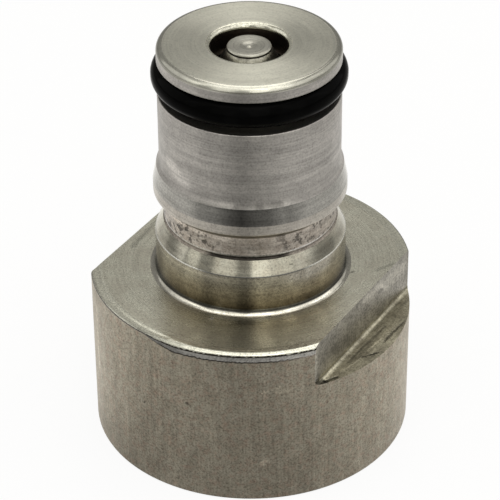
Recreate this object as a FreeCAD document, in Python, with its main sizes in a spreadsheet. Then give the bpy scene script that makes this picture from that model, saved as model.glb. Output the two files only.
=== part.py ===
# Keg coupler adapter: a quick-disconnect keg post on a round threaded base, with its spring-loaded poppet.
# Millimetres. The origin is the centre of the base's bottom face, +Z runs up the post, and the two wrench
# flats face +X and -X.

import FreeCAD, Part
import math
import os

import Sketcher

doc = FreeCAD.newDocument("keg_coupler_adapter")

# Driving sizes: name, value, what it measures
drivingSizes = [
    # Base and its wrench flats
    ("base_diameter", 31.2, "round bar that the base is left as"),
    ("base_height", 17.25, "bottom face to the base's top face"),
    ("base_top_chamfer", 0.15, "edge round the base's top face"),
    ("base_foot_chamfer", 0.3, "edge round the base's bottom face"),
    ("flats_across", 24.9, "distance between the two wrench flats"),
    ("flat_height", 4.55, "how far the flats are milled down from the top face"),
    ("flat_corner_radius", 0.35, "cutter's corner where a flat meets its ledge"),
    # Threaded socket in the base
    ("thread_diameter", 22.91, "major diameter of the G 5/8 female thread"),
    ("thread_depth", 1.16, "height of the thread, from its root to its crest"),
    ("socket_depth", 11.0, "bottom face to the socket's sealing face"),
    ("socket_chamfer", 0.8, "lead-in at the socket's mouth"),
    ("relief_width", 2.6, "thread run-out groove below the sealing face"),
    ("relief_depth", 0.3, "depth of the run-out groove beyond the thread"),
    # Outside of the post, from the base upwards
    ("collar_diameter", 18.4, "collar on the base"),
    ("collar_height", 4.25, "base's top face to the cone"),
    ("collar_root_radius", 0.6, "fillet between the collar and the base"),
    ("cone_height", 1.6, "cone between the collar and the lock groove"),
    ("lock_groove_diameter", 16.5, "floor of the groove that the disconnect's balls grip"),
    ("lock_groove_width", 2.1, "straight part of that floor"),
    ("lip_height", 1.0, "sloping underside of the bulge"),
    ("bulge_diameter", 18.56, "widest part of the bulge"),
    ("bulge_land", 0.95, "straight part of the bulge"),
    ("ramp_height", 1.65, "long ramp above the land"),
    ("ramp_shoulder_diameter", 17.86, "where the ramp turns steeper"),
    ("ramp_shoulder_height", 0.55, "steep end of the ramp"),
    ("post_diameter", 17.3, "sealing cylinder of the post"),
    ("post_straight", 7.15, "sealing cylinder below the ring groove"),
    ("disc_height", 1.55, "disc above the ring groove"),
    ("disc_edge_radius", 0.6, "rounded rim of the disc"),
    # Sealing ring round the post
    ("post_ring_section", 2.62, "thickness of the post's ring"),
    ("post_ring_stand_out", 0.57, "how far the ring stands out of the post"),
    ("post_ring_fit", 0.05, "play between the ring and the groove's floor"),
    ("post_ring_top_room", 0.1, "play between the ring and the disc"),
    ("post_ring_bottom_room", 0.63, "room left below the ring"),
    # Inside of the post
    ("mouth_diameter", 7.2, "hole in the disc"),
    ("mouth_length", 2.5, "straight hole down to the valve seat"),
    ("mouth_edge_radius", 0.45, "rounded edge of the hole"),
    ("seat_width", 1.6, "radial width of the 45 degree valve seat"),
    ("shoulder_width", 0.5, "step that the spring seat bears on"),
    ("bore_length", 11.0, "socket's sealing face up to that step"),
    # Poppet
    ("tip_diameter", 4.2, "pin that shows in the hole"),
    ("tip_recess", 0.25, "how far the pin's tip lies below the disc's face"),
    ("tip_chamfer", 0.2, "edge of the pin's tip"),
    ("valve_ring_section", 1.5, "thickness of the poppet's ring"),
    ("valve_ring_fit", 0.02, "play between that ring and its groove's floor"),
    ("valve_ring_side_room", 0.05, "play on each side of that ring"),
    ("valve_gap", 0.05, "clearance between that ring and the valve seat"),
    ("lip_thickness", 0.4, "lip of the head above the ring"),
    ("lip_clearance", 0.2, "clearance between that lip and the valve seat"),
    ("head_thickness", 1.0, "flange of the head below the ring"),
    ("head_clearance", 0.7, "way for the flow round the head"),
    ("tail_diameter", 3.0, "pin's tail through the spring seat"),
    ("tail_overhang", 1.6, "tail below the spring seat"),
    ("tail_chamfer", 0.3, "end of the tail"),
    # Spring and what holds it
    ("wire_diameter", 0.7, "spring wire"),
    ("wire_sides", 8, "flats that the wire's round section is drawn with"),
    ("coil_diameter", 6.6, "spring, measured at the middle of its wire"),
    ("active_coils", 5, "open coils between the two closed ends"),
    ("closed_pitch", 0.85, "rise of each closed end coil"),
    ("spring_gap", 0.1, "clearance between the spring and the poppet's head"),
    ("seat_thickness", 1.5, "spring seat"),
    ("seat_fit", 0.05, "radial play of the spring seat in its bore"),
    ("seat_edge_chamfer", 0.2, "rim of the spring seat"),
    ("tail_fit", 0.08, "radial play of the tail in the spring seat"),
    ("flow_hole_diameter", 1.4, "holes through the spring seat"),
    ("flow_holes", 8, "number of those holes"),
    ("snap_thickness", 1.0, "retaining ring"),
    ("snap_width", 1.1, "radial width of the retaining ring"),
    ("snap_groove_depth", 0.35, "groove for it, beyond the bore"),
    ("snap_play", 0.05, "play of the retaining ring in its groove"),
    ("lug_radius", 1.25, "ears of the retaining ring"),
    ("lug_set_in", 0.45, "ears inward of the ring's outer edge"),
    ("lug_angle", 33.0, "each ear's angle from the middle of the gap"),
    ("lug_hole_diameter", 1.1, "holes for the ring pliers"),
    # Washer in the socket
    ("gasket_thickness", 2.0, "flat washer"),
    ("gasket_outer_clearance", 0.15, "clearance inside the thread's crests"),
    ("gasket_inner_set_back", 0.1, "washer's hole beyond the bore"),
    ("gasket_edge_chamfer", 0.2, "edges of the washer"),
]

sheet = doc.addObject("Spreadsheet::Sheet", "sizes")
for row, (alias, value, meaning) in enumerate(drivingSizes, 1):
    sheet.set("A%d" % row, meaning)
    sheet.set("B%d" % row, str(value))
    sheet.setAlias("B%d" % row, alias)
doc.recompute()

near = 1e-4  # how close a corner has to be to count as the one looked for

# Radii and levels that several pieces share, as expressions over the sheet
baseRadius = "sizes.base_diameter / 2"
collarRadius = "sizes.collar_diameter / 2"
lockRadius = "sizes.lock_groove_diameter / 2"
bulgeRadius = "sizes.bulge_diameter / 2"
rampShoulderRadius = "sizes.ramp_shoulder_diameter / 2"
postRadius = "sizes.post_diameter / 2"
threadRadius = "sizes.thread_diameter / 2"
mouthRadius = "sizes.mouth_diameter / 2"
chamberRadius = mouthRadius + " + sizes.seat_width"
boreRadius = chamberRadius + " + sizes.shoulder_width"
coilRadius = "sizes.coil_diameter / 2"
tailRadius = "sizes.tail_diameter / 2"

collarTop = "sizes.base_height + sizes.collar_height"
coneTop = collarTop + " + sizes.cone_height"
lockTop = coneTop + " + sizes.lock_groove_width"
lipTop = lockTop + " + sizes.lip_height"
landTop = lipTop + " + sizes.bulge_land"
rampTop = landTop + " + sizes.ramp_height"
shoulderTop = rampTop + " + sizes.ramp_shoulder_height"
ringGrooveBottom = shoulderTop + " + sizes.post_straight"
ringGrooveTop = (ringGrooveBottom + " + sizes.post_ring_bottom_room + sizes.post_ring_section"
                 " + sizes.post_ring_top_room")
discTop = ringGrooveTop + " + sizes.disc_height"
ringGrooveRadius = postRadius + " + sizes.post_ring_stand_out - sizes.post_ring_section - sizes.post_ring_fit"

shoulderLevel = "sizes.socket_depth + sizes.bore_length"
seatUnderside = shoulderLevel + " - sizes.seat_thickness"
snapUnderside = seatUnderside + " - sizes.snap_thickness"
valveSeatTop = discTop + " - sizes.mouth_length"

# The poppet's ring touches the middle of the valve seat, which stands at 45 degrees
ringReach = "(sizes.valve_ring_section / 2 + sizes.valve_gap) * cos(45)"
valveRingRadius = mouthRadius + " + sizes.seat_width / 2 - " + ringReach
valveRingLevel = valveSeatTop + " - sizes.seat_width / 2 - " + ringReach
valveGrooveHalf = "sizes.valve_ring_section / 2 + sizes.valve_ring_side_room"
headUnderside = valveRingLevel + " - (" + valveGrooveHalf + ") - sizes.head_thickness"


def newBody(label):
    body = doc.addObject("PartDesign::Body", label)
    body.Label = label
    return body


def originPlane(body, role):
    for feature in body.Origin.OriginFeatures:
        if feature.Role == role:
            return feature


def newSketch(body, name, role):
    sketch = body.newObject("Sketcher::SketchObject", name)
    sketch.AttachmentSupport = [(originPlane(body, role), "")]
    sketch.MapMode = "FlatFace"
    return sketch


# Ties one coordinate of a point in a sketch to an expression, or puts it on the axis where it is "0"
def tie(sketch, geometry, point, direction, expression, name):
    if expression == "0":
        axis = -2 if direction == "DistanceX" else -1
        sketch.addConstraint(Sketcher.Constraint("PointOnObject", geometry, point, axis))
        return
    index = sketch.addConstraint(Sketcher.Constraint(direction, -1, 1, geometry, point, 1.0))
    sketch.renameConstraint(index, name)
    sketch.setExpression("Constraints." + name, expression)


# A closed outline of straight lines through named corners, each (name, across, up)
def outline(body, name, corners, role="XZ_Plane"):
    sketch = newSketch(body, name, role)
    count = len(corners)
    start = [FreeCAD.Vector(math.cos(2 * math.pi * i / count), math.sin(2 * math.pi * i / count), 0)
             for i in range(count)]
    for i in range(count):
        sketch.addGeometry(Part.LineSegment(start[i], start[(i + 1) % count]))
    for i in range(count):
        sketch.addConstraint(Sketcher.Constraint("Coincident", i, 2, (i + 1) % count, 1))
    for i, (corner, across, up) in enumerate(corners):
        tie(sketch, i, 1, "DistanceX", across, corner + "_across")
        tie(sketch, i, 1, "DistanceY", up, corner + "_up")
    doc.recompute()
    return sketch


# Circles in one sketch, each (name, across, up, radius)
def circles(body, name, rounds, role="XY_Plane"):
    sketch = newSketch(body, name, role)
    for i, (label, across, up, radius) in enumerate(rounds):
        sketch.addGeometry(Part.Circle(FreeCAD.Vector(1, 1, 0), FreeCAD.Vector(0, 0, 1), 1.0))
        tie(sketch, i, 3, "DistanceX", across, label + "_across")
        tie(sketch, i, 3, "DistanceY", up, label + "_up")
        index = sketch.addConstraint(Sketcher.Constraint("Radius", i, 1.0))
        sketch.renameConstraint(index, label + "_radius")
        sketch.setExpression("Constraints." + label + "_radius", radius)
    doc.recompute()
    return sketch


def revolve(body, kind, name, sketch):
    feature = body.newObject("PartDesign::" + kind, name)
    feature.Profile = sketch
    feature.ReferenceAxis = (sketch, ["V_Axis"])
    feature.Angle = 360.0
    doc.recompute()
    return feature


def pad(body, name, sketch, length):
    feature = body.newObject("PartDesign::Pad", name)
    feature.Profile = sketch
    feature.setExpression("Length", length)
    doc.recompute()
    return feature


# A cut through the whole body, both ways from the sketch
def cutThrough(body, name, sketch):
    feature = body.newObject("PartDesign::Pocket", name)
    feature.Profile = sketch
    feature.Type = "ThroughAll"
    feature.Midplane = True
    doc.recompute()
    return feature


# The circular edges of a feature that pass through a corner of a revolved outline
def turnedEdges(feature, sketch, *corners):
    names = []
    for corner in corners:
        radius = sketch.getDatum(corner + "_across").Value
        level = sketch.getDatum(corner + "_up").Value
        names += roundEdges(feature, radius, level)
    return names


def roundEdges(feature, radius, level):
    names = []
    for index, edge in enumerate(feature.Shape.Edges, 1):
        curve = edge.Curve
        if not isinstance(curve, Part.Circle):
            continue
        if abs(curve.Radius - radius) < near and abs(curve.Center.z - level) < near:
            names.append("Edge%d" % index)
    return names


def dressEdges(body, kind, name, feature, edges, amount):
    dressed = body.newObject("PartDesign::" + kind, name)
    dressed.Base = (feature, edges)
    dressed.setExpression("Radius" if kind == "Fillet" else "Size", amount)
    doc.recompute()
    return dressed


# Body: turned outside and inside, then the flats are milled
adapter = newBody("adapter_body")

outside = outline(adapter, "outside_profile", [
    ("foot_inner", mouthRadius, "0"),
    ("foot", baseRadius, "0"),
    ("base_edge", baseRadius, "sizes.base_height"),
    ("collar_root", collarRadius, "sizes.base_height"),
    ("collar_top", collarRadius, collarTop),
    ("lock_bottom", lockRadius, coneTop),
    ("lock_top", lockRadius, lockTop),
    ("lip", bulgeRadius, lipTop),
    ("land_top", bulgeRadius, landTop),
    ("ramp_top", rampShoulderRadius, rampTop),
    ("post_bottom", postRadius, shoulderTop),
    ("disc_edge", postRadius, discTop),
    ("mouth_edge", mouthRadius, discTop),
])
turned = revolve(adapter, "Revolution", "turned_outside", outside)

ringGroove = outline(adapter, "ring_groove_profile", [
    ("floor_bottom", ringGrooveRadius, ringGrooveBottom),
    ("rim_bottom", bulgeRadius, ringGrooveBottom),
    ("rim_top", bulgeRadius, ringGrooveTop),
    ("floor_top", ringGrooveRadius, ringGrooveTop),
])
revolve(adapter, "Groove", "ring_groove", ringGroove)

socket = outline(adapter, "socket_profile", [
    ("axis_bottom", "0", "0"),
    ("mouth", threadRadius + " + sizes.socket_chamfer", "0"),
    ("lead_in", threadRadius, "sizes.socket_chamfer"),
    ("thread_end", threadRadius, "sizes.socket_depth - sizes.relief_width"),
    ("relief_bottom", threadRadius + " + sizes.relief_depth",
     "sizes.socket_depth - sizes.relief_width + sizes.relief_depth"),
    ("relief_top", threadRadius + " + sizes.relief_depth", "sizes.socket_depth"),
    ("axis_top", "0", "sizes.socket_depth"),
])
revolve(adapter, "Groove", "threaded_socket", socket)

bore = outline(adapter, "bore_profile", [
    ("axis_bottom", "0", "sizes.socket_depth"),
    ("bore_bottom", boreRadius, "sizes.socket_depth"),
    ("bore_top", boreRadius, shoulderLevel),
    ("shoulder", chamberRadius, shoulderLevel),
    ("seat_bottom", chamberRadius, valveSeatTop + " - sizes.seat_width"),
    ("seat_top", mouthRadius, valveSeatTop),
    ("axis_top", "0", valveSeatTop),
])
revolve(adapter, "Groove", "bore_and_valve_seat", bore)

snapGroove = outline(adapter, "snap_groove_profile", [
    ("inner_bottom", chamberRadius, snapUnderside + " - sizes.snap_play"),
    ("floor_bottom", boreRadius + " + sizes.snap_groove_depth", snapUnderside + " - sizes.snap_play"),
    ("floor_top", boreRadius + " + sizes.snap_groove_depth", seatUnderside + " + sizes.snap_play"),
    ("inner_top", chamberRadius, seatUnderside + " + sizes.snap_play"),
])
shape = revolve(adapter, "Groove", "snap_groove", snapGroove)

for kind, name, corner, amount in [
    ("Fillet", "disc_edge", "disc_edge", "sizes.disc_edge_radius"),
    ("Fillet", "mouth_edge", "mouth_edge", "sizes.mouth_edge_radius"),
    ("Fillet", "collar_root", "collar_root", "sizes.collar_root_radius"),
    ("Chamfer", "base_top_edge", "base_edge", "sizes.base_top_chamfer"),
]:
    shape = dressEdges(adapter, kind, name, shape, turnedEdges(shape, outside, corner), amount)

footEdges = roundEdges(shape, outside.getDatum("foot_across").Value, 0.0)
shape = dressEdges(adapter, "Chamfer", "base_foot_edge", shape, footEdges, "sizes.base_foot_chamfer")

flatCut = outline(adapter, "flat_profile", [
    ("ledge", "sizes.flats_across / 2", "sizes.base_height - sizes.flat_height"),
    ("ledge_end", baseRadius + " + sizes.flat_height", "sizes.base_height - sizes.flat_height"),
    ("above_end", baseRadius + " + sizes.flat_height", "sizes.base_height + sizes.flat_height / 2"),
    ("above", "sizes.flats_across / 2", "sizes.base_height + sizes.flat_height / 2"),
])
milled = cutThrough(adapter, "wrench_flat", flatCut)
otherFlat = adapter.newObject("PartDesign::Mirrored", "other_wrench_flat")
otherFlat.Originals = [milled]
otherFlat.MirrorPlane = (originPlane(adapter, "YZ_Plane"), [""])
adapter.Tip = otherFlat
doc.recompute()

flatSide = flatCut.getDatum("ledge_across").Value
ledgeLevel = flatCut.getDatum("ledge_up").Value
ledgeCorners = []
for index, edge in enumerate(otherFlat.Shape.Edges, 1):
    box = edge.BoundBox
    if abs(abs(box.Center.x) - flatSide) < near and abs(box.Center.z - ledgeLevel) < near and box.ZLength < near:
        ledgeCorners.append("Edge%d" % index)
dressEdges(adapter, "Fillet", "ledge_corners", otherFlat, ledgeCorners, "sizes.flat_corner_radius")

# Sealing ring round the post, near the top of its groove
postRing = doc.addObject("Part::Torus", "post_o_ring")
postRing.setExpression("Radius1", postRadius + " + sizes.post_ring_stand_out - sizes.post_ring_section / 2")
postRing.setExpression("Radius2", "sizes.post_ring_section / 2")
postRing.setExpression("Placement.Base.z",
                       ringGrooveTop + " - sizes.post_ring_top_room - sizes.post_ring_section / 2")

# Poppet's pin, drawn from the underside of its head
pin = newBody("poppet_pin")
grooveFloor = valveRingRadius + " - sizes.valve_ring_section / 2 - sizes.valve_ring_fit"
grooveTop = "sizes.head_thickness + 2 * (" + valveGrooveHalf + ")"
lipRadius = (mouthRadius + " + " + valveSeatTop + " - (" + headUnderside + ") - (" + grooveTop
             + " + sizes.lip_thickness) - sizes.lip_clearance")
pinProfile = outline(pin, "pin_profile", [
    ("tail_end", "0", seatUnderside + " - sizes.tail_overhang - (" + headUnderside + ")"),
    ("tail_edge", tailRadius, seatUnderside + " - sizes.tail_overhang - (" + headUnderside + ")"),
    ("tail_root", tailRadius, "0"),
    ("head_bottom", chamberRadius + " - sizes.head_clearance", "0"),
    ("head_top", chamberRadius + " - sizes.head_clearance", "sizes.head_thickness"),
    ("groove_bottom", grooveFloor, "sizes.head_thickness"),
    ("groove_top", grooveFloor, grooveTop),
    ("lip_bottom", lipRadius, grooveTop),
    ("lip_top", lipRadius, grooveTop + " + sizes.lip_thickness"),
    ("stem_root", "sizes.tip_diameter / 2", grooveTop + " + sizes.lip_thickness"),
    ("tip_edge", "sizes.tip_diameter / 2", discTop + " - sizes.tip_recess - (" + headUnderside + ")"),
    ("tip", "0", discTop + " - sizes.tip_recess - (" + headUnderside + ")"),
])
pinSolid = revolve(pin, "Revolution", "turned_pin", pinProfile)
pinSolid = dressEdges(pin, "Chamfer", "tip_edge", pinSolid, turnedEdges(pinSolid, pinProfile, "tip_edge"),
                      "sizes.tip_chamfer")
dressEdges(pin, "Chamfer", "tail_edge", pinSolid, turnedEdges(pinSolid, pinProfile, "tail_edge"),
           "sizes.tail_chamfer")
pin.setExpression("Placement.Base.z", headUnderside)

# Poppet's sealing ring
valveRing = doc.addObject("Part::Torus", "poppet_o_ring")
valveRing.setExpression("Radius1", valveRingRadius)
valveRing.setExpression("Radius2", "sizes.valve_ring_section / 2")
valveRing.setExpression("Placement.Base.z", valveRingLevel)

# Spring seat: a drilled disc against the bore's shoulder
seat = newBody("spring_seat")
seatDisc = pad(seat, "disc", circles(seat, "disc_outline", [
    ("rim", "0", "0", boreRadius + " - sizes.seat_fit"),
    ("guide", "0", "0", tailRadius + " + sizes.tail_fit"),
]), "sizes.seat_thickness")
rimRadius = seatDisc.Profile[0].getDatum("rim_radius").Value
rimEdges = roundEdges(seatDisc, rimRadius, 0.0)
rimEdges += roundEdges(seatDisc, rimRadius, sheet.get("seat_thickness"))
dressEdges(seat, "Chamfer", "rim_edges", seatDisc, rimEdges, "sizes.seat_edge_chamfer")
springOuter = coilRadius + " + sizes.wire_diameter / 2"
flowHole = cutThrough(seat, "flow_hole", circles(seat, "flow_hole_outline", [
    ("hole", "(" + springOuter + " + " + chamberRadius + ") / 2", "0", "sizes.flow_hole_diameter / 2"),
]))
flowRing = seat.newObject("PartDesign::PolarPattern", "flow_holes")
flowRing.Originals = [flowHole]
flowRing.Axis = (flowHole.Profile[0], ["N_Axis"])
flowRing.Angle = 360.0
flowRing.setExpression("Occurrences", "sizes.flow_holes")
seat.Tip = flowRing
seat.setExpression("Placement.Base.z", seatUnderside)

# Retaining ring: a flat snap ring with two eared ends, open towards +Y
snap = newBody("retaining_ring")
snapOuter = boreRadius + " + sizes.snap_groove_depth - sizes.snap_play"
lugCircle = "(" + snapOuter + " - sizes.lug_set_in - sizes.lug_radius)"
lugAcross = lugCircle + " * sin(sizes.lug_angle)"
lugUp = lugCircle + " * cos(sizes.lug_angle)"
pad(snap, "band", circles(snap, "band_outline", [
    ("outer", "0", "0", snapOuter),
    ("inner", "0", "0", snapOuter + " - sizes.snap_width"),
]), "sizes.snap_thickness")
pad(snap, "ears", circles(snap, "ear_outline", [
    ("right_ear", lugAcross, lugUp, "sizes.lug_radius"),
    ("left_ear", "-" + lugAcross, lugUp, "sizes.lug_radius"),
]), "sizes.snap_thickness")
cutThrough(snap, "plier_holes", circles(snap, "plier_hole_outline", [
    ("right_hole", lugAcross, lugUp, "sizes.lug_hole_diameter / 2"),
    ("left_hole", "-" + lugAcross, lugUp, "sizes.lug_hole_diameter / 2"),
]))
gapHalf = lugAcross + " - sizes.lug_radius * cos(sizes.lug_angle)"
cutThrough(snap, "gap", outline(snap, "gap_outline", [
    ("inner_left", "-(" + gapHalf + ")", lugUp),
    ("inner_right", gapHalf, lugUp),
    ("outer_right", gapHalf, snapOuter + " + sizes.snap_width"),
    ("outer_left", "-(" + gapHalf + ")", snapOuter + " + sizes.snap_width"),
], "XY_Plane"))
snap.setExpression("Placement.Base.z", snapUnderside)

# Spring: closed end coil, open coils, closed end coil, both ends ground flat
spring = newBody("poppet_spring")
springLength = headUnderside + " - sizes.spring_gap - (" + shoulderLevel + ")"


# Corners of the wire's section, on its round
def wireSection(name, start):
    sides = int(sheet.get("wire_sides"))
    corners = []
    for n in range(sides):
        turn = 360.0 * n / sides
        across = coilRadius + " + sizes.wire_diameter / 2 * cos(%g)" % turn
        up = start + " + sizes.wire_diameter / 2 * sin(%g)" % turn
        corners.append(("corner_%d" % n, across, up))
    return outline(spring, name + "_wire", corners)


coils = [
    ("bottom_coil", "0", "sizes.closed_pitch", "sizes.closed_pitch"),
    ("open_coils", "sizes.closed_pitch", springLength + " - 2 * sizes.closed_pitch", ""),
    ("top_coil", springLength + " - sizes.closed_pitch", "sizes.closed_pitch", "sizes.closed_pitch"),
]
for name, start, rise, pitch in coils:
    wire = wireSection(name, start)
    coil = spring.newObject("PartDesign::AdditiveHelix", name)
    coil.Profile = wire
    coil.ReferenceAxis = (wire, ["V_Axis"])
    coil.Mode = "pitch-height-angle"
    coil.setExpression("Height", rise)
    coil.setExpression("Pitch", pitch or "(" + rise + ") / sizes.active_coils")
    doc.recompute()


# The ends are ground: what stands beyond each end plane is taken off
for name, topEnd in [("ground_bottom", False), ("ground_top", True)]:
    endPlane = circles(spring, name + "_outline", [("wheel", "0", "0", "sizes.coil_diameter")])
    if topEnd:
        endPlane.setExpression("AttachmentOffset.Base.z", springLength)
    ground = spring.newObject("PartDesign::Pocket", name)
    ground.Profile = endPlane
    ground.setExpression("Length", "sizes.wire_diameter")
    ground.Reversed = topEnd
    doc.recompute()
spring.setExpression("Placement.Base.z", shoulderLevel)

# Washer against the socket's sealing face
gasket = newBody("coupler_gasket")
washerProfile = outline(gasket, "washer_profile", [
    ("inner_bottom", boreRadius + " + sizes.gasket_inner_set_back", "0"),
    ("outer_bottom", threadRadius + " - sizes.thread_depth - sizes.gasket_outer_clearance", "0"),
    ("outer_top", threadRadius + " - sizes.thread_depth - sizes.gasket_outer_clearance",
     "sizes.gasket_thickness"),
    ("inner_top", boreRadius + " + sizes.gasket_inner_set_back", "sizes.gasket_thickness"),
])
washer = revolve(gasket, "Revolution", "washer", washerProfile)
washerEdges = []
for corner in ("inner_top", "outer_top"):
    radius = washerProfile.getDatum(corner + "_across").Value
    for level in (0.0, sheet.get("gasket_thickness")):
        washerEdges += roundEdges(washer, radius, level)
dressEdges(gasket, "Chamfer", "washer_edges", washer, washerEdges, "sizes.gasket_edge_chamfer")
gasket.setExpression("Placement.Base.z", "sizes.socket_depth - sizes.gasket_thickness")

doc.recompute()

# Every object has to have come out well before anything is written
for item in doc.Objects:
    for flag in item.State:
        if flag in ("Invalid", "Error"):
            raise RuntimeError(item.Label + " didn't recompute: " + item.getStatusString())

pieces = [adapter, postRing, pin, valveRing, spring, seat, snap, gasket]
for piece in pieces:
    if piece.Shape.isNull() or not piece.Shape.isValid() or len(piece.Shape.Solids) != 1:
        raise RuntimeError(piece.Label + " isn't one sound solid")

os.makedirs("parts", exist_ok=True)
for piece in pieces:
    piece.Shape.exportStep("parts/" + piece.Label + ".step")
    print("%-16s %10.2f mm3" % (piece.Label, piece.Shape.Volume))
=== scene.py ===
# Keg coupler adapter: a turned keg post on a threaded base with two wrench flats.
from math import atan2, cos, pi, radians, sin, sqrt, tan

import bmesh
import bpy
from mathutils import Matrix, Vector, noise


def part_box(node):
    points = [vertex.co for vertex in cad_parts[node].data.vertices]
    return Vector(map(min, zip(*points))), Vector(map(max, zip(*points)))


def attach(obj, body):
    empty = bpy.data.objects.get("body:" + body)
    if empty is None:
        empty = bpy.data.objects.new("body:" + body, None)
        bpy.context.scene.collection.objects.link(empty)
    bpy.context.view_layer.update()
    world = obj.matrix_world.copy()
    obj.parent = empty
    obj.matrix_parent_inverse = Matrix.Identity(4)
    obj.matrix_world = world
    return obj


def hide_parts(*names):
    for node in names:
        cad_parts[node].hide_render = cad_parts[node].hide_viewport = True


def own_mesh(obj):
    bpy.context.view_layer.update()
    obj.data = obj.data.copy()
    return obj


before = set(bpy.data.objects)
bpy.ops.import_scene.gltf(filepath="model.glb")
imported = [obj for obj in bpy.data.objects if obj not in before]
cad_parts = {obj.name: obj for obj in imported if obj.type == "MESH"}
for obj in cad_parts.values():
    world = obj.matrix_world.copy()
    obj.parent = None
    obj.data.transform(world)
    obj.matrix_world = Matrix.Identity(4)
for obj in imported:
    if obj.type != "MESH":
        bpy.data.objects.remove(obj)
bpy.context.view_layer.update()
scene = bpy.context.scene
mm = 0.001


# Small helpers for node trees
def addNode(tree, kind, inputs=None, **settings):
    node = tree.nodes.new(kind)
    for name, value in settings.items():
        setattr(node, name, value)
    for name, value in (inputs or {}).items():
        feed(tree, socketOf(node.inputs, name), value)
    return node


def socketOf(sockets, name):
    if isinstance(name, int):
        return sockets[name]
    return next(s for s in sockets if s.name == name and s.enabled)


def feed(tree, socket, value):
    # A value is a socket to link from, a node whose first live output is meant, or a plain number
    if isinstance(value, bpy.types.Node):
        value = next(s for s in value.outputs if s.enabled)
    if isinstance(value, bpy.types.NodeSocket):
        tree.links.new(value, socket)
    else:
        socket.default_value = value


def calc(tree, operation, a, b=0.0, clamp=False):
    return addNode(tree, "ShaderNodeMath", {0: a, 1: b}, operation=operation, use_clamp=clamp)


def times(tree, a, b):
    return calc(tree, "MULTIPLY", a, b)


def plus(tree, a, b):
    return calc(tree, "ADD", a, b)


def minus(tree, a, b):
    return calc(tree, "SUBTRACT", a, b)


def vectorCalc(tree, operation, a, b):
    return addNode(tree, "ShaderNodeVectorMath", {0: a, 1: b}, operation=operation)


def dot(tree, a, b):
    return vectorCalc(tree, "DOT_PRODUCT", a, b).outputs["Value"]


def scaled(tree, a, factor):
    return addNode(tree, "ShaderNodeVectorMath", {0: a, 3: factor}, operation="SCALE")


def lengthOf(tree, a):
    return addNode(tree, "ShaderNodeVectorMath", {0: a}, operation="LENGTH").outputs["Value"]


def cloud(tree, place, scale, detail, **more):
    given = {"Vector": place, "Scale": scale, "Detail": detail}
    given.update({name.capitalize(): value for name, value in more.items()})
    return addNode(tree, "ShaderNodeTexNoise", given)


def blend(tree, share, a, b):
    return addNode(tree, "ShaderNodeMix", {"Factor": share, "A": a, "B": b}, data_type="RGBA").outputs[2]


def spread(tree, value, fromLow, fromHigh, toLow, toHigh):
    limits = {"Value": value, "From Min": fromLow, "From Max": fromHigh, "To Min": toLow, "To Max": toHigh}
    return addNode(tree, "ShaderNodeMapRange", limits)


# Camera, as it stood for the photograph
cameraLook = {
    "azimuth": 30.8,       # degrees from straight in front of -Y, towards +X
    "elevation": 33.5025,
    "roll": -0.4595,
    "distance": 231.778 * mm,
    "lens": 171.496,
    "aimRight": -0.0753 * mm,
    "aimUp": 18.4986 * mm,
}


def outwards(degrees, lift=0):
    # The way out from the axis, in degrees from -Y towards +X and upwards
    azimuth = radians(degrees)
    elevation = radians(lift)
    return Vector((sin(azimuth) * cos(elevation), -cos(azimuth) * cos(elevation), sin(elevation)))


def placeCamera(look):
    azimuth = radians(look["azimuth"])
    roll = radians(look["roll"])
    right = Vector((cos(azimuth), sin(azimuth), 0))
    back = outwards(look["azimuth"], look["elevation"])
    up = back.cross(right)
    turnedRight = cos(roll) * right + sin(roll) * up
    turnedUp = cos(roll) * up - sin(roll) * right
    data = bpy.data.cameras.new("photoCamera")
    data.sensor_width = 36
    data.lens = look["lens"]
    data.clip_start = 0.01
    data.clip_end = 20
    camera = bpy.data.objects.new("photoCamera", data)
    scene.collection.objects.link(camera)
    aim = right * look["aimRight"] + Vector((0, 0, look["aimUp"]))
    axes = Matrix((turnedRight, turnedUp, back)).transposed()
    camera.matrix_world = Matrix.Translation(aim + back * look["distance"]) @ axes.to_4x4()
    scene.camera = camera


placeCamera(cameraLook)
print("camera placed")


# Light: softboxes round the object, given by where they stand seen from it
roomLight = {
    "front": 0.38,           # the room's own light, on the camera's side and behind the object
    "back": 0.45,
    "horizon": 0.6,          # how much of it is left at the level of the floor
    "tint": (1.0, 0.985, 0.94),
    # azimuth from the camera's side, elevation, distance, width, height, brightness, tint
    "boxes": {
        "overhead": (174, 58, 0.60, 0.30, 0.36, 1.5, (1.0, 0.985, 0.94)),
        "above": (0, 87, 0.60, 0.60, 0.36, 0.9, (1.0, 0.99, 0.95)),
        "left": (-105, 30, 0.60, 0.52, 0.50, 0.72, (1.0, 0.99, 0.97)),
        "right": (76, 36, 0.60, 0.52, 0.50, 0.80, (1.0, 0.985, 0.96)),
        "rightFar": (116, 30, 0.60, 0.38, 0.50, 0.70, (1.0, 0.985, 0.96)),
        "windowA": (-31, 41, 0.60, 0.284, 0.78, 0.66, (1.0, 0.99, 0.93)),
        "windowB": (11.6, 41, 0.60, 0.22, 0.78, 1.25, (1.0, 0.99, 0.93)),
        "windowC": (37, 41, 0.60, 0.288, 0.78, 0.75, (1.0, 0.99, 0.93)),
        "sideWindow": (-71.5, 38, 0.60, 0.169, 0.60, 0.75, (1.0, 0.99, 0.93)),
    },
}


def awayFromCamera(side, lift):
    return outwards(cameraLook["azimuth"] + side, lift)


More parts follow.
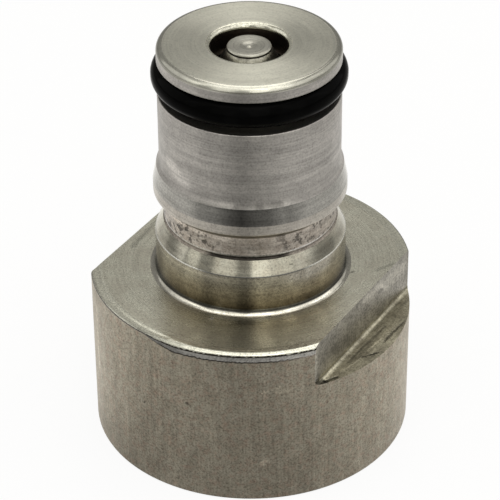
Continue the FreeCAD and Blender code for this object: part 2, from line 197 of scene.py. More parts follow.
def lightRoom(look):
    centre = Vector((0, 0, 0.02))
    for name, (side, lift, distance, width, height, brightness, tint) in look["boxes"].items():
        away = awayFromCamera(side, lift)
        data = bpy.data.lights.new(name, "AREA")
        data.shape = "RECTANGLE"
        data.size = width
        data.size_y = height
        data.color = tint
        data.energy = brightness * pi * width * height
        lamp = bpy.data.objects.new(name, data)
        facing = away.to_track_quat("Z", "Y").to_matrix().to_4x4()
        lamp.matrix_world = Matrix.Translation(centre + away * distance) @ facing
        scene.collection.objects.link(lamp)
    world = bpy.data.worlds.new("studio")
    scene.world = world
    world.use_nodes = True
    tree = world.node_tree
    tree.nodes.clear()
    seen = addNode(tree, "ShaderNodeLightPath").outputs["Is Camera Ray"]
    direction = addNode(tree, "ShaderNodeTexCoord").outputs["Generated"]
    toFront = dot(tree, direction, awayFromCamera(0, 0))
    level = spread(tree, toFront, 0.6, -0.5, look["front"], look["back"])
    upwards = addNode(tree, "ShaderNodeSeparateXYZ", {0: direction}).outputs[2]
    level = times(tree, level, spread(tree, upwards, 0.0, 0.4, look["horizon"], 1.0))
    room = addNode(tree, "ShaderNodeBackground", {"Color": (*look["tint"], 1), "Strength": level})
    white = addNode(tree, "ShaderNodeBackground", {"Color": (1, 1, 1, 1), "Strength": 1.0})
    mix = addNode(tree, "ShaderNodeMixShader", {0: seen, 1: room, 2: white})
    addNode(tree, "ShaderNodeOutputWorld", {"Surface": mix})


lightRoom(roomLight)

# The floor is a pale card. Mirrored rays see a painted reflection instead: a glow with levels by direction,
# set for the photograph's view.
floorLook = {
    "reach": 1.2,
    "colour": (0.88, 0.875, 0.86),
    "fleck": 0.02,
    "whiteness": 0.9,        # how much of the plain white that the camera sees is added to the lit card
    "mirrorTint": (1.0, 0.985, 0.95),
    # Degrees from the photograph's side (minus is left) and the level: beside the base, further out, far off
    "beside": ((-180, 1.30), (-100, 1.30), (-84, 0.92), (-64, 0.60), (-49, 0.42), (-35, 0.43), (-23, 0.45),
               (-11, 0.37), (-5, 0.37), (7, 0.39), (19, 0.38), (25, 0.44), (44, 0.63), (59, 0.70),
               (77, 0.88), (89, 1.15), (180, 1.20)),
    "around": ((-180, 1.20), (-137, 1.00), (-112, 0.90), (-96, 0.84), (-82, 0.88), (-58, 0.76), (-38, 0.72),
               (-18, 0.42), (-9, 0.31), (9, 0.46), (28, 0.66), (58, 0.86), (82, 0.73), (112, 0.75),
               (137, 0.93), (180, 1.20)),
    "farOff": ((-180, 0.50), (-120, 0.70), (-75, 0.78), (-57, 0.38), (-41, 0.36), (-25, 0.17), (-10, 0.07),
               (5, 0.16), (20, 0.20), (35, 0.42), (43, 0.36), (69, 0.66), (110, 0.74), (180, 0.50)),
    "aroundFrom": (0.028, 0.045),
    "farFrom": (0.09, 0.15),
}


def levelRound(tree, azimuth, levels):
    # Reads a level off a ring of directions; the ramp holds half of each, to stay under 1
    ramp = addNode(tree, "ShaderNodeValToRGB", {0: spread(tree, azimuth, -pi, pi, 0.0, 1.0)})
    stops = ramp.color_ramp.elements
    for n, (degrees, level) in enumerate(levels):
        place = degrees / 360 + 0.5
        stop = stops[0] if n == 0 else stops[-1] if n == len(levels) - 1 else stops.new(place)
        stop.position = place
        stop.color = (level / 2, level / 2, level / 2, 1)
    return times(tree, ramp.outputs[0], 2.0)


def layFloor(look):
    mesh = bpy.data.meshes.new("floor")
    sheet = bmesh.new()
    reach = look["reach"]
    corners = [sheet.verts.new((x * reach, y * reach, 0)) for x, y in ((-1, -1), (1, -1), (1, 1), (-1, 1))]
    sheet.faces.new(corners)
    sheet.to_mesh(mesh)
    sheet.free()
    floor = bpy.data.objects.new("floor", mesh)
    scene.collection.objects.link(floor)
    mat = bpy.data.materials.new("paleCard")
    mat.use_nodes = True
    tree = mat.node_tree
    tree.nodes.clear()
    place = addNode(tree, "ShaderNodeTexCoord").outputs["Object"]
    fleck = cloud(tree, place, 300.0, 3.0)
    level = spread(tree, fleck, 0.3, 0.7, 1 - look["fleck"], 1.0)
    tone = scaled(tree, look["colour"], level)
    card = addNode(tree, "ShaderNodeBsdfDiffuse", {"Color": tone.outputs[0]})
    ray = addNode(tree, "ShaderNodeLightPath").outputs
    white = addNode(tree, "ShaderNodeEmission", {"Color": (1, 1, 1, 1), "Strength": 1.0})
    lift = times(tree, ray["Is Camera Ray"], look["whiteness"])
    seen = addNode(tree, "ShaderNodeMixShader", {0: lift, 1: card, 2: white})
    parts = [dot(tree, place, awayFromCamera(side, 0)) for side in (90, 0)]
    azimuth = calc(tree, "ARCTAN2", *parts)
    far = lengthOf(tree, place)
    strength = levelRound(tree, azimuth, look["beside"])
    for ring, start in (("around", "aroundFrom"), ("farOff", "farFrom")):
        share = spread(tree, far, *look[start], 0.0, 1.0)
        strength = addNode(tree, "ShaderNodeMix", {"Factor": share, "A": strength,
                           "B": levelRound(tree, azimuth, look[ring])}, data_type="FLOAT")
    # Painted reflection: a glow that only mirrored rays see, with the levels of the rings above
    paintedReflection = addNode(tree, "ShaderNodeEmission", {"Color": (*look["mirrorTint"], 1), "Strength": strength})
    both = addNode(tree, "ShaderNodeMixShader", {0: ray["Is Glossy Ray"], 1: seen, 2: paintedReflection})
    addNode(tree, "ShaderNodeOutputMaterial", {"Surface": both})
    mesh.materials.append(mat)


layFloor(floorLook)
print("room lit")


# Metal finishes. grain says which way the tool marks run: rings round the axis, bar along it, slide along Y
# What a finish has unless its own row says otherwise
steelUsual = {
    "roughSpread": 0.1,
    "anisotropy": 0.3,
    "grain": "rings",
    "mottle": 0.8,
    "dirt": 0.3,
    "lines": 6.0,
}

# sector multiplies the colour by direction round the axis: the middle in degrees from -Y towards +X, how
# far off it the change begins and ends, and the factor inside and outside. The middles lie on the side that
# the photograph shows, so this is painted shade, part of it in place of reflections, and a fault. fade does
# the same with height in millimetres: start, end, and the factor at each.
steelLooks = {
    "faceTurned": {"tones": ((0.6, 0.59, 0.51), (0.53, 0.52, 0.45)), "rough": 0.34, "anisotropy": 0.8,
        "lines": 9.0, "depth": 0.5, "mottle": 0.35, "dirt": 0.25},
    "baseTurned": {"tones": ((0.57, 0.56, 0.47), (0.47, 0.45, 0.375)), "rough": 0.28, "anisotropy": 0.5,
        "lines": 7.0, "depth": 0.15, "mottle": 0.6, "contrast": 0.6, "grit": 0.11},
    "postTurned": {"tones": ((0.48, 0.458, 0.43), (0.4, 0.382, 0.36)), "rough": 0.42, "anisotropy": 0.55,
        "depth": 1.4, "mottle": 0.6, "dirt": 0.2, "contrast": 1.9, "grit": 0.1,
        "fade": (28.8, 29.5, 0.95, 1.0)},
    "rampPolished": {"tones": ((0.41, 0.4, 0.37), (0.37, 0.36, 0.335)), "rough": 0.09,
        "roughSpread": 0.04, "anisotropy": 0.2, "lines": 9.0, "depth": 0.3, "dirt": 0.25, "contrast": 1.8,
        "grit": 0.1},
    "landTurned": {"tones": ((0.51, 0.48, 0.43), (0.44, 0.41, 0.37)), "rough": 0.3, "roughSpread": 0.08,
        "anisotropy": 0.5, "lines": 8.0, "depth": 0.8, "contrast": 1.5, "grit": 0.08},
    # A darker copy of the torn floor's steel: painted shade on the lip's downward slope, halved near its
    # sector's middle.
    "lipPaintedShade": {"tones": ((0.4, 0.35, 0.27), (0.3, 0.26, 0.2)), "rough": 0.36, "lines": 8.0,
        "depth": 0.8, "sector": (30.8, 34, 50, 0.5, 1.2), "grit": 0.12},
    "floorTorn": {"tones": ((0.58, 0.53, 0.47), (0.42, 0.37, 0.32)), "rough": 0.4, "roughSpread": 0.15,
        "anisotropy": 0.2, "lines": 4.5, "depth": 1.3, "mottle": 1.1, "dirt": 0.4, "contrast": 3.0,
        "pits": 0.9, "smoothMiddle": (120.8, -0.3, 2.2, 4.0), "grit": 0.1},
    # Near black: painted shade in the crease between the lock groove's floor and the cone, about five times
    # lighter away from its sector's middle.
    "creasePaintedShade": {"tones": ((0.066, 0.059, 0.051), (0.044, 0.039, 0.034)), "rough": 0.5,
        "anisotropy": 0.0, "lines": 4.0, "depth": 1.0, "mottle": 1.2, "dirt": 0.4,
        "sector": (28.8, 24, 31, 0.8, 5.2), "grit": 0.15},
    # A bright copy of the steel: painted highlight along the burr over the crease, with painted shade near
    # its sector's middle.
    "burrPaintedHighlight": {"tones": ((0.76, 0.74, 0.72), (0.66, 0.64, 0.62)), "rough": 0.35, "anisotropy": 0.0,
        "depth": 0.6, "mottle": 1.2, "dirt": 0.4, "sector": (28.8, 12, 26, 0.35, 1.0), "grit": 0.2},
    "edgeThin": {"tones": ((0.62, 0.61, 0.56), (0.55, 0.54, 0.49)), "rough": 0.25, "anisotropy": 0.0,
        "depth": 0.4, "mottle": 1.2, "sector": (33.8, 28, 38, 0.25, 1.0), "grit": 0.1},
    "conePolished": {"tones": ((0.47, 0.455, 0.38), (0.41, 0.385, 0.315)), "rough": 0.17,
        "roughSpread": 0.07, "anisotropy": 0.2, "depth": 0.45, "mottle": 0.9, "contrast": 1.8,
        "grit": 0.07},
    "collarTurned": {"tones": ((0.43, 0.405, 0.345), (0.33, 0.305, 0.255)), "rough": 0.24,
        "roughSpread": 0.12, "anisotropy": 0.4, "lines": 5.0, "depth": 0.6, "mottle": 0.9, "dirt": 0.5,
        "fade": (17.8, 20.6, 0.16, 1.0), "fadeTint": (1.15, 1.0, 0.74), "contrast": 2.0,
        "sector": (25.8, 8, 26, 0.74, 1.08), "grit": 0.13},
    # Near twice as bright as the collar's steel: painted highlight on the fillet, with painted shade over
    # its upper part by its fade and away from its sector's middle.
    "filletPaintedHighlight": {"tones": ((0.86, 0.83, 0.73), (0.76, 0.73, 0.63)), "rough": 0.19,
        "roughSpread": 0.06, "lines": 8.0, "depth": 0.5, "mottle": 0.9, "fade": (17.45, 17.56, 1.0, 0.13),
        "sector": (36.8, 42, 62, 1.0, 0.42), "grit": 0.1},
    "bandTurned": {"tones": ((0.48, 0.47, 0.44), (0.4, 0.39, 0.37)), "rough": 0.25, "roughSpread": 0.06,
        "anisotropy": 0.4, "lines": 10.0, "depth": 0.2, "mottle": 1.0, "dirt": 0.4, "contrast": 2.0,
        "sector": (38.8, 12, 36, 1.15, 0.55), "grit": 0.18},
    # Brighter than the top's steel: partly burnishing, partly painted highlight on the rolled edge; away
    # from its sector's middle it is darker.
    "rollBurnishedHighlight": {"tones": ((0.82, 0.81, 0.7), (0.72, 0.71, 0.6)), "rough": 0.2, "roughSpread": 0.06,
        "lines": 12.0, "depth": 0.3, "dirt": 0.2, "sector": (32.8, 21, 33, 1.0, 0.62), "grit": 0.14},
    "rimBurnished": {"tones": ((0.62, 0.61, 0.52), (0.55, 0.54, 0.45)), "rough": 0.2, "roughSpread": 0.06,
        "lines": 12.0, "depth": 0.3, "dirt": 0.2, "grit": 0.16},
    "discRounded": {"tones": ((0.58, 0.57, 0.5), (0.52, 0.51, 0.44)), "rough": 0.24, "roughSpread": 0.06,
        "lines": 12.0, "depth": 0.3, "dirt": 0.1, "sector": (28.8, 26, 46, 1.16, 0.66)},
    # Near black: painted shade in the gap under the rim's burr.
    "seamPaintedShade": {"tones": ((0.02, 0.017, 0.012), (0.08, 0.065, 0.05)), "rough": 0.6, "anisotropy": 0.0,
        "lines": 3.0, "depth": 1.5, "mottle": 1.6},
    # Dark line at the band's foot: painted shade, dark only near its sector's middle and about five times
    # lighter away from it.
    "linePaintedShade": {"tones": ((0.09, 0.08, 0.07), (0.05, 0.045, 0.04)), "rough": 0.5, "anisotropy": 0.0,
        "lines": 3.0, "depth": 1.0, "mottle": 2.4, "dirt": 0.4, "sector": (17.8, 20, 32, 1.0, 5.5)},
    "barDrawn": {"tones": ((0.45, 0.415, 0.335), (0.37, 0.335, 0.265)), "rough": 0.47,
        "roughSpread": 0.12, "anisotropy": 0.25, "grain": "bar", "lines": 4.0, "depth": 0.9, "dirt": 0.35,
        "contrast": 1.5, "grit": 0.2, "blush": (0.42, 0.32, 0.25)},
    "flatMilled": {"tones": ((0.38, 0.36, 0.315), (0.29, 0.275, 0.24)), "rough": 0.42,
        "roughSpread": 0.14, "anisotropy": 0.2, "grain": "bar", "lines": 4.0, "depth": 0.9, "mottle": 0.7,
        "dirt": 0.5, "contrast": 1.5, "grit": 0.26},
    "ledgeMilled": {"tones": ((0.42, 0.395, 0.3), (0.24, 0.22, 0.165)), "rough": 0.34,
        "roughSpread": 0.14, "anisotropy": 0.0, "grain": "slide", "lines": 2.6, "depth": 2.5,
        "mottle": 0.9, "dirt": 0.5, "contrast": 3.4, "grit": 0.12},
    "boreTurned": {"tones": ((0.4, 0.385, 0.35), (0.34, 0.325, 0.3)), "rough": 0.34, "anisotropy": 0.5,
        "depth": 1.0, "mottle": 0.6},
    # Near black steel: painted shade down the mouth round the pin.
    "mouthPaintedShade": {"tones": ((0.075, 0.06, 0.05), (0.045, 0.036, 0.03)), "rough": 0.3, "anisotropy": 0.4,
        "depth": 1.0, "mottle": 0.6},
    "pinSide": {"tones": ((0.5, 0.485, 0.42), (0.38, 0.365, 0.31)), "rough": 0.3, "grain": "bar",
        "lines": 3.0, "depth": 1.5, "mottle": 1.6, "dirt": 0.5, "contrast": 3.0},
    "pinTurned": {"tones": ((0.47, 0.46, 0.4), (0.4, 0.39, 0.345)), "rough": 0.3, "anisotropy": 0.5,
        "lines": 8.0, "depth": 1.2, "mottle": 1.2, "dirt": 0.25, "contrast": 2.0},
    "springDrawn": {"tones": ((0.55, 0.54, 0.5), (0.48, 0.47, 0.44)), "rough": 0.22, "roughSpread": 0.08,
        "anisotropy": 0.0, "grain": "slide", "lines": 8.0, "depth": 0.2, "mottle": 1.5, "dirt": 0.1},
    "seatStamped": {"tones": ((0.5, 0.485, 0.44), (0.43, 0.42, 0.38)), "rough": 0.3, "anisotropy": 0.2,
        "lines": 8.0, "depth": 0.6, "mottle": 1.2, "dirt": 0.2},
    "ringStamped": {"tones": ((0.33, 0.325, 0.31), (0.26, 0.255, 0.24)), "rough": 0.3, "anisotropy": 0.0,
        "grain": "slide", "depth": 0.6, "mottle": 1.2},
}

# Single marks, in millimetres: start, end, width, how light it is against the rest, and how deep. Those of
# no depth only lighten or darken the steel; several of them are painted reflections, highlights and shade.
wearAndPaintedLightMarks = {
    "barDrawn": [
        ((-2.80, -15.34, 8.93), (-2.72, -15.35, 9.15), 0.16, 0.40, 1.5),
        ((2.05, -15.46, 10.84), (2.28, -15.43, 10.60), 0.17, 0.40, 1.5),
        ((8.81, -12.87, 12.76), (10.23, -11.78, 13.39), 0.17, 1.35, -0.5),
        ((8.81, -12.87, 12.76), (9.21, -12.59, 12.20), 0.14, 1.25, -0.5),
        ((9.81, -12.13, 12.75), (10.87, -11.20, 12.79), 0.22, 1.30, -0.5),
        ((8.81, -12.87, 4.50), (9.06, -12.70, 4.75), 0.42, 1.45, -0.5),
        ((-6.07, -14.35, 13.2), (-6.07, -14.35, 10.8), 0.20, 1.25, 0.0),
        ((-10.50, -11.49, 15.0), (-10.50, -11.49, 8.0), 0.45, 1.20, 0.0),
    ],
    "baseTurned": [
        ((1.79, -10.33, 17.25), (1.94, -10.20, 17.25), 0.20, 1.9, -1.0),
        ((9.40, 3.04, 17.25), (9.67, 3.43, 17.25), 0.16, 0.45, 1.0),
        ((11.42, 4.61, 17.25), (12.24, 6.51, 17.25), 0.30, 0.72, 0.5),
        ((-11.37, -3.60, 17.25), (-12.03, 3.40, 17.25), 0.35, 0.72, 0.5),
        # These of no depth are painted reflections: light and dark streaks across the top beside the post.
        ((4.48, -9.56, 17.25), (6.27, -8.55, 17.25), 0.45, 0.70, 0.0),
        ((6.00, -8.50, 17.25), (8.06, -6.57, 17.25), 0.90, 1.45, 0.0),
        ((8.06, -6.57, 17.25), (9.56, -4.10, 17.25), 0.80, 1.40, 0.0),
        ((1.77, -10.25, 17.25), (3.30, -9.85, 17.25), 0.80, 1.35, 0.0),
        ((6.20, -8.60, 17.25), (8.78, -12.17, 17.25), 1.10, 1.32, 0.0),
        ((1.95, -10.20, 17.25), (2.70, -14.40, 17.25), 1.00, 1.15, 0.0),
        ((4.50, -9.40, 17.25), (6.30, -13.00, 17.25), 1.40, 0.74, 0.0),
    ],
    "postTurned": [
        # Painted shade at the post's foot, then a painted highlight above it.
        ((3.41, -8.11, 29.05), (5.20, -7.10, 29.05), 0.50, 0.62, 0.0),
        ((5.20, -7.10, 29.05), (6.62, -5.80, 29.05), 0.50, 0.62, 0.0),
        ((-4.14, -7.59, 31.26), (-1.98, -8.42, 29.93), 0.95, 1.30, 0.0),
    ],
    "conePolished": [((7.30, -5.00, 22.1), (7.38, -4.88, 22.05), 0.12, 0.40, 1.5)],
    "filletPaintedHighlight": [
        ((3.33, -9.12, 17.27), (4.52, -8.56, 17.27), 0.08, 0.25, 0.5),
        ((6.07, -7.55, 17.27), (7.16, -6.54, 17.27), 0.08, 0.30, 0.5),
    ],
    "rimBurnished": [
        ((-13.84, -7.12, 17.1), (-12.22, -9.61, 17.1), 0.16, 0.50, 0.0),
        ((-12.22, -9.61, 17.1), (-9.39, -12.38, 17.1), 0.16, 0.50, 0.0),
    ],
    "flatMilled": [
        ((12.45, 0.4, 16.7), (12.45, 3.4, 16.3), 0.75, 1.45, -0.5),
        ((12.45, 4.6, 16.0), (12.45, 8.6, 15.8), 1.20, 1.35, -0.5),
        ((12.45, 3.2, 15.9), (12.45, 4.0, 15.7), 0.30, 0.55, 1.0),
        # A painted highlight down the flat's end towards -Y; the next only darkens the steel.
        ((12.45, -9.3, 16.9), (12.45, -9.3, 13.1), 0.30, 1.45, 0.0),
        ((12.45, -8.3, 15.0), (12.45, -2.0, 14.0), 0.90, 0.80, 0.0),
    ],
    "ledgeMilled": [
        ((14.15, -3.03, 12.7), (14.57, -2.42, 12.7), 0.12, 0.30, 2.0),
        ((14.57, -2.42, 12.7), (14.96, -1.72, 12.7), 0.16, 0.22, 2.5),
        ((12.60, -9.16, 12.8), (12.91, -8.25, 12.7), 0.34, 0.18, 2.0),
        ((12.91, -8.25, 12.7), (13.55, -7.07, 12.7), 0.24, 0.30, 1.5),
        ((13.41, -6.23, 12.7), (13.98, -3.32, 12.7), 0.18, 1.22, -0.3),
        ((14.05, -1.90, 12.7), (14.36, 3.75, 12.7), 0.14, 1.25, -0.3),
        ((13.30, -4.50, 12.7), (13.60, 2.50, 12.7), 0.22, 0.62, 0.3),
        ((14.70, 0.20, 12.7), (14.80, 3.90, 12.7), 0.16, 0.55, 0.5),
    ],
}


def millimetres(tree):
    place = addNode(tree, "ShaderNodeTexCoord").outputs["Object"]
    return addNode(tree, "ShaderNodeMapping", {"Vector": place, "Scale": (1000, 1000, 1000)})


def markMask(tree, place, start, end, width):
    # 1 on the line from start to end, fading to 0 at the width
    start = Vector(start)
    run = Vector(end) - start
    apart = vectorCalc(tree, "SUBTRACT", place, start)
    along = dot(tree, apart, run / run.length_squared)
    share = addNode(tree, "ShaderNodeClamp", {"Value": along})
    off = vectorCalc(tree, "DISTANCE", apart, scaled(tree, run, share)).outputs["Value"]
    return spread(tree, off, width * 0.35, width, 1.0, 0.0)


def steelMaterial(name):
    look = {**steelUsual, **steelLooks[name]}
    mat = bpy.data.materials.new(name)
    mat.use_nodes = True
    tree = mat.node_tree
    bsdf = tree.nodes["Principled BSDF"]
    place = millimetres(tree)
    x, y, z = addNode(tree, "ShaderNodeSeparateXYZ", {0: place}).outputs
    # Grain runs along the direction in which the noise is stretched
    fine = look["lines"]
    if look["grain"] == "rings":
        radius = calc(tree, "SQRT", plus(tree, times(tree, x, x), times(tree, y, y)))
        across = plus(tree, times(tree, radius, 0.83), z)
        grain = addNode(tree, "ShaderNodeCombineXYZ", {
            0: times(tree, x, 0.16), 1: times(tree, y, 0.16), 2: times(tree, across, fine)})
    else:
        stretch = (fine, fine, 0.18) if look["grain"] == "bar" else (fine, 0.22, fine)
        grain = vectorCalc(tree, "MULTIPLY", place, stretch)
    lines = cloud(tree, grain, 1.0, 3.0, roughness=0.6)
    broad = cloud(tree, grain, 0.22, 2.0)
    mottle = cloud(tree, place, look["mottle"], 4.0, roughness=0.65)
    speck = cloud(tree, place, 5.5, 2.0, roughness=0.7)
    # Colour: two tones by mottle, then the lines and specks on top
    first, second = look["tones"]
    tone = blend(tree, spread(tree, mottle, 0.36, 0.64, 0.0, 1.0), (*first, 1), (*second, 1))
    if look.get("blush"):
        warm = cloud(tree, place, 1.7, 3.0, roughness=0.7)
        tone = blend(tree, spread(tree, warm, 0.48, 0.72, 0.0, 0.8), tone, (*look["blush"], 1))
    strong = look.get("contrast", 1.0)
    lineShade = spread(tree, lines, 0.3, 0.7, 1 - 0.10 * strong, 1 + 0.08 * strong)
    broadShade = spread(tree, broad, 0.3, 0.7, 1 - 0.06 * strong, 1 + 0.06 * strong)
    speckShade = spread(tree, speck, 0.25, 0.5, 1 - look["dirt"], 1.0)
    shade = times(tree, times(tree, lineShade, broadShade), speckShade)
    if look.get("grit"):
        grit = cloud(tree, place, 5.5, 2.0)
        shade = times(tree, shade, spread(tree, grit, 0.3, 0.7, 1 - look["grit"], 1 + look["grit"]))
    # Painted shade with height: the colour darker towards one end, and with fadeTint warmer there
    if look.get("fade"):
        start, end, low, high = look["fade"]
        shade = times(tree, shade, spread(tree, z, start, end, low, high))
        if look.get("fadeTint"):
            warm = vectorCalc(tree, "MULTIPLY", tone, look["fadeTint"])
            tone = blend(tree, spread(tree, z, start, end, 1.0, 0.0), tone, warm)
    # Painted shade and painted highlight by direction round the axis
    if look.get("sector"):
        middle, near, off, inside, outside = look["sector"]
        toMiddle = dot(tree, place, outwards(middle))
        reach = lengthOf(tree, vectorCalc(tree, "MULTIPLY", place, (1, 1, 0)))
        apart = calc(tree, "ARCCOSINE", calc(tree, "DIVIDE", toMiddle, reach))
        shade = times(tree, shade, spread(tree, apart, radians(near), radians(off), inside, outside))
    height = plus(tree, lines, times(tree, broad, 2.0))
    if look.get("pits"):
        # Torn metal: dark pits, all round but for a smoother stretch
        pit = cloud(tree, place, 1.5, 3.0, roughness=0.62)
        across, middle, smooth, torn = look["smoothMiddle"]
        side = dot(tree, place, outwards(across))
        off = calc(tree, "ABSOLUTE", minus(tree, side, middle))
        depth = times(tree, spread(tree, pit, 0.52, 0.60, 0, look["pits"]),
                      spread(tree, off, smooth, torn, 0.15, 1.0))
        shade = times(tree, shade, minus(tree, 1.0, times(tree, depth, 0.75)))
        height = minus(tree, height, times(tree, depth, 8.0))
    if name in wearAndPaintedLightMarks:
        # The marks' edges are broken up by a little noise in their place
        shake = cloud(tree, place, 3.5, 3.0)
        shift = vectorCalc(tree, "SUBTRACT", shake.outputs["Color"], (0.5, 0.5, 0.5))
        shaken = vectorCalc(tree, "ADD", place, scaled(tree, shift, 0.5))
        for start, end, width, light, deep in wearAndPaintedLightMarks[name]:
            mask = markMask(tree, shaken, start, end, width)
            shade = times(tree, shade, spread(tree, mask, 0.0, 1.0, 1.0, light))
            if deep:
                height = minus(tree, height, times(tree, mask, deep * 6.0))
    colour = scaled(tree, tone, shade)
    tree.links.new(colour.outputs[0], bsdf.inputs["Base Color"])
    half = look["roughSpread"] / 2
    rough = spread(tree, plus(tree, lines, mottle), 0.6, 1.4, look["rough"] - half, look["rough"] + half)
    tree.links.new(rough.outputs[0], bsdf.inputs["Roughness"])
    bump = addNode(tree, "ShaderNodeBump", {"Strength": 1.0, "Distance": look["depth"] * 0.002 * mm,
                   "Height": height})
    tree.links.new(bump.outputs[0], bsdf.inputs["Normal"])
    bsdf.inputs["Metallic"].default_value = 1.0
    if look["anisotropy"]:
        bsdf.inputs["Anisotropic"].default_value = look["anisotropy"]
        # Light spreads across the tool marks
        if look["grain"] == "rings":
            bsdf.inputs["Anisotropic Rotation"].default_value = 0.25
        axis = addNode(tree, "ShaderNodeTangent", direction_type="RADIAL", axis="Z")
        tree.links.new(axis.outputs[0], bsdf.inputs["Tangent"])
    return mat


softLooks = {
    "sealRubber": {"tones": ((0.001, 0.001, 0.001), (0.002, 0.002, 0.002)), "rough": 0.12, "specular": 0.014,
                   "grainScale": 14.0, "depth": 0.6},
    "washerWhite": {"tones": ((0.80, 0.79, 0.75), (0.72, 0.71, 0.66)), "rough": 0.55, "specular": 0.4,
                    "grainScale": 8.0, "depth": 2.0},
}


def softMaterial(name):
    look = softLooks[name]
    mat = bpy.data.materials.new(name)
    mat.use_nodes = True
    tree = mat.node_tree
    bsdf = tree.nodes["Principled BSDF"]
    bsdf.inputs["Specular IOR Level"].default_value = look["specular"]
    place = millimetres(tree)
    grain = cloud(tree, place, look["grainScale"], 3.0)
    mottle = cloud(tree, place, 0.5, 3.0)
    first, second = look["tones"]
    tone = blend(tree, spread(tree, mottle, 0.35, 0.65, 0, 1), (*first, 1), (*second, 1))
    tree.links.new(tone, bsdf.inputs["Base Color"])
    rough = spread(tree, plus(tree, grain, mottle), 0.6, 1.4, look["rough"] - 0.06, look["rough"] + 0.08)
    tree.links.new(rough.outputs[0], bsdf.inputs["Roughness"])
    bump = addNode(tree, "ShaderNodeBump", {"Distance": look["depth"] * 0.001 * mm, "Height": grain})
    tree.links.new(bump.outputs[0], bsdf.inputs["Normal"])
    return mat


finishes = {name: steelMaterial(name) for name in steelLooks}
finishes.update({name: softMaterial(name) for name in softLooks})
print("finishes made")


# The lathe: turns an outline, held as a chain of points (radius, 0, height), about the Z axis
def startTree(name, inputs):
    tree = bpy.data.node_groups.new(name, "GeometryNodeTree")
    tree.interface.new_socket("Geometry", in_out="INPUT", socket_type="NodeSocketGeometry")
    for label, kind, value in inputs:
        socket = tree.interface.new_socket(label, in_out="INPUT", socket_type=kind)
        if value is not None:
            socket.default_value = value
    tree.interface.new_socket("Geometry", in_out="OUTPUT", socket_type="NodeSocketGeometry")
    return tree, addNode(tree, "NodeGroupInput").outputs


def integer(tree, operation, a, b):
    return addNode(tree, "FunctionNodeIntegerMath", {0: a, 1: b}, operation=operation)


def endTree(tree, shape, materials, zone=None):
    # Realize Instances, then one Set Material for each finish
    shape = addNode(tree, "GeometryNodeRealizeInstances", {"Geometry": shape})
    for number, material in enumerate(materials):
        inputs = {"Geometry": shape, "Material": material}
        if zone:
            inputs["Selection"] = addNode(tree, "FunctionNodeCompare", {2: zone, 3: number}, data_type="INT",
                                          operation="EQUAL")
        shape = addNode(tree, "GeometryNodeSetMaterial", inputs)
    addNode(tree, "NodeGroupOutput", {0: shape})


def movedRound(tree, grid, radius, angle, height):
    place = addNode(tree, "ShaderNodeCombineXYZ", {
        0: times(tree, radius, calc(tree, "COSINE", angle)),
        1: times(tree, radius, calc(tree, "SINE", angle)), 2: height})
    return addNode(tree, "GeometryNodeSetPosition", {"Geometry": grid, "Position": place})


def latheTree(finishCount):
    labels = ["Finish " + str(n + 1) for n in range(finishCount)]
    sizes = [("Steps Round", "NodeSocketInt", 256), ("Outline Points", "NodeSocketInt", 2)]
    tree, given = startTree("lathe", sizes + [(label, "NodeSocketMaterial", None) for label in labels])
    steps = given["Steps Round"]
    points = given["Outline Points"]
    rows = integer(tree, "ADD", points, 1)
    columns = integer(tree, "ADD", steps, 1)
    grid = addNode(tree, "GeometryNodeMeshGrid", {"Vertices X": columns, "Vertices Y": rows})
    index = addNode(tree, "GeometryNodeInputIndex")
    turn = integer(tree, "DIVIDE", index, rows)
    row = integer(tree, "MODULO", integer(tree, "MODULO", index, rows), points)
    position = addNode(tree, "GeometryNodeInputPosition")
    outline = addNode(tree, "GeometryNodeSampleIndex", {
        "Geometry": given["Geometry"], "Value": position, "Index": row}, data_type="FLOAT_VECTOR")
    at = addNode(tree, "ShaderNodeSeparateXYZ", {0: outline})
    angle = times(tree, calc(tree, "DIVIDE", turn, steps), 2 * pi)
    turned = movedRound(tree, grid, at.outputs[0], angle, at.outputs[2])
    # A face takes the zone of the outline point that it starts from
    zoneName = addNode(tree, "GeometryNodeInputNamedAttribute", {"Name": "zone"}, data_type="INT")
    zone = addNode(tree, "GeometryNodeSampleIndex", {"Geometry": given["Geometry"], "Value": zoneName,
                   "Index": integer(tree, "MODULO", index, points)}, data_type="INT")
    kept = addNode(tree, "GeometryNodeStoreNamedAttribute", {
        "Geometry": turned, "Name": "zone", "Value": zone}, data_type="INT", domain="FACE")
    closed = addNode(tree, "GeometryNodeMergeByDistance", {"Geometry": kept, "Distance": 0.001 * mm})
    zoneKept = addNode(tree, "GeometryNodeInputNamedAttribute", {"Name": "zone"}, data_type="INT")
    endTree(tree, closed, [given[label] for label in labels], zoneKept)
    return tree


def plainMesh(shape, name):
    # Turns the evaluated object into an ordinary mesh object without modifiers
    bpy.context.view_layer.update()
    depsgraph = bpy.context.evaluated_depsgraph_get()
    mesh = bpy.data.meshes.new_from_object(shape.evaluated_get(depsgraph), preserve_all_data_layers=True,
                                           depsgraph=depsgraph)
    mesh.name = name
    # Geometry Nodes leave an empty first slot
    if len(mesh.materials) > 1 and mesh.materials[0] is None:
        mesh.materials.pop(index=0)
    shape.modifiers.clear()
    shape.data = mesh
    return shape


def addTree(shape, tree, values):
    modifier = shape.modifiers.new(tree.name, "NODES")
    modifier.node_group = tree
    for item in tree.interface.items_tree:
        if item.in_out == "INPUT" and item.name in values:
            modifier[item.identifier] = values[item.name]
    return modifier


def chainObject(name, points, zones=None):
    mesh = bpy.data.meshes.new(name)
    mesh.from_pydata(points, [(n, n + 1) for n in range(len(points) - 1)], [])
    if zones:
        mesh.attributes.new("zone", "INT", "POINT").data.foreach_set("value", zones)
    shape = bpy.data.objects.new(name, mesh)
    scene.collection.objects.link(shape)
    return shape


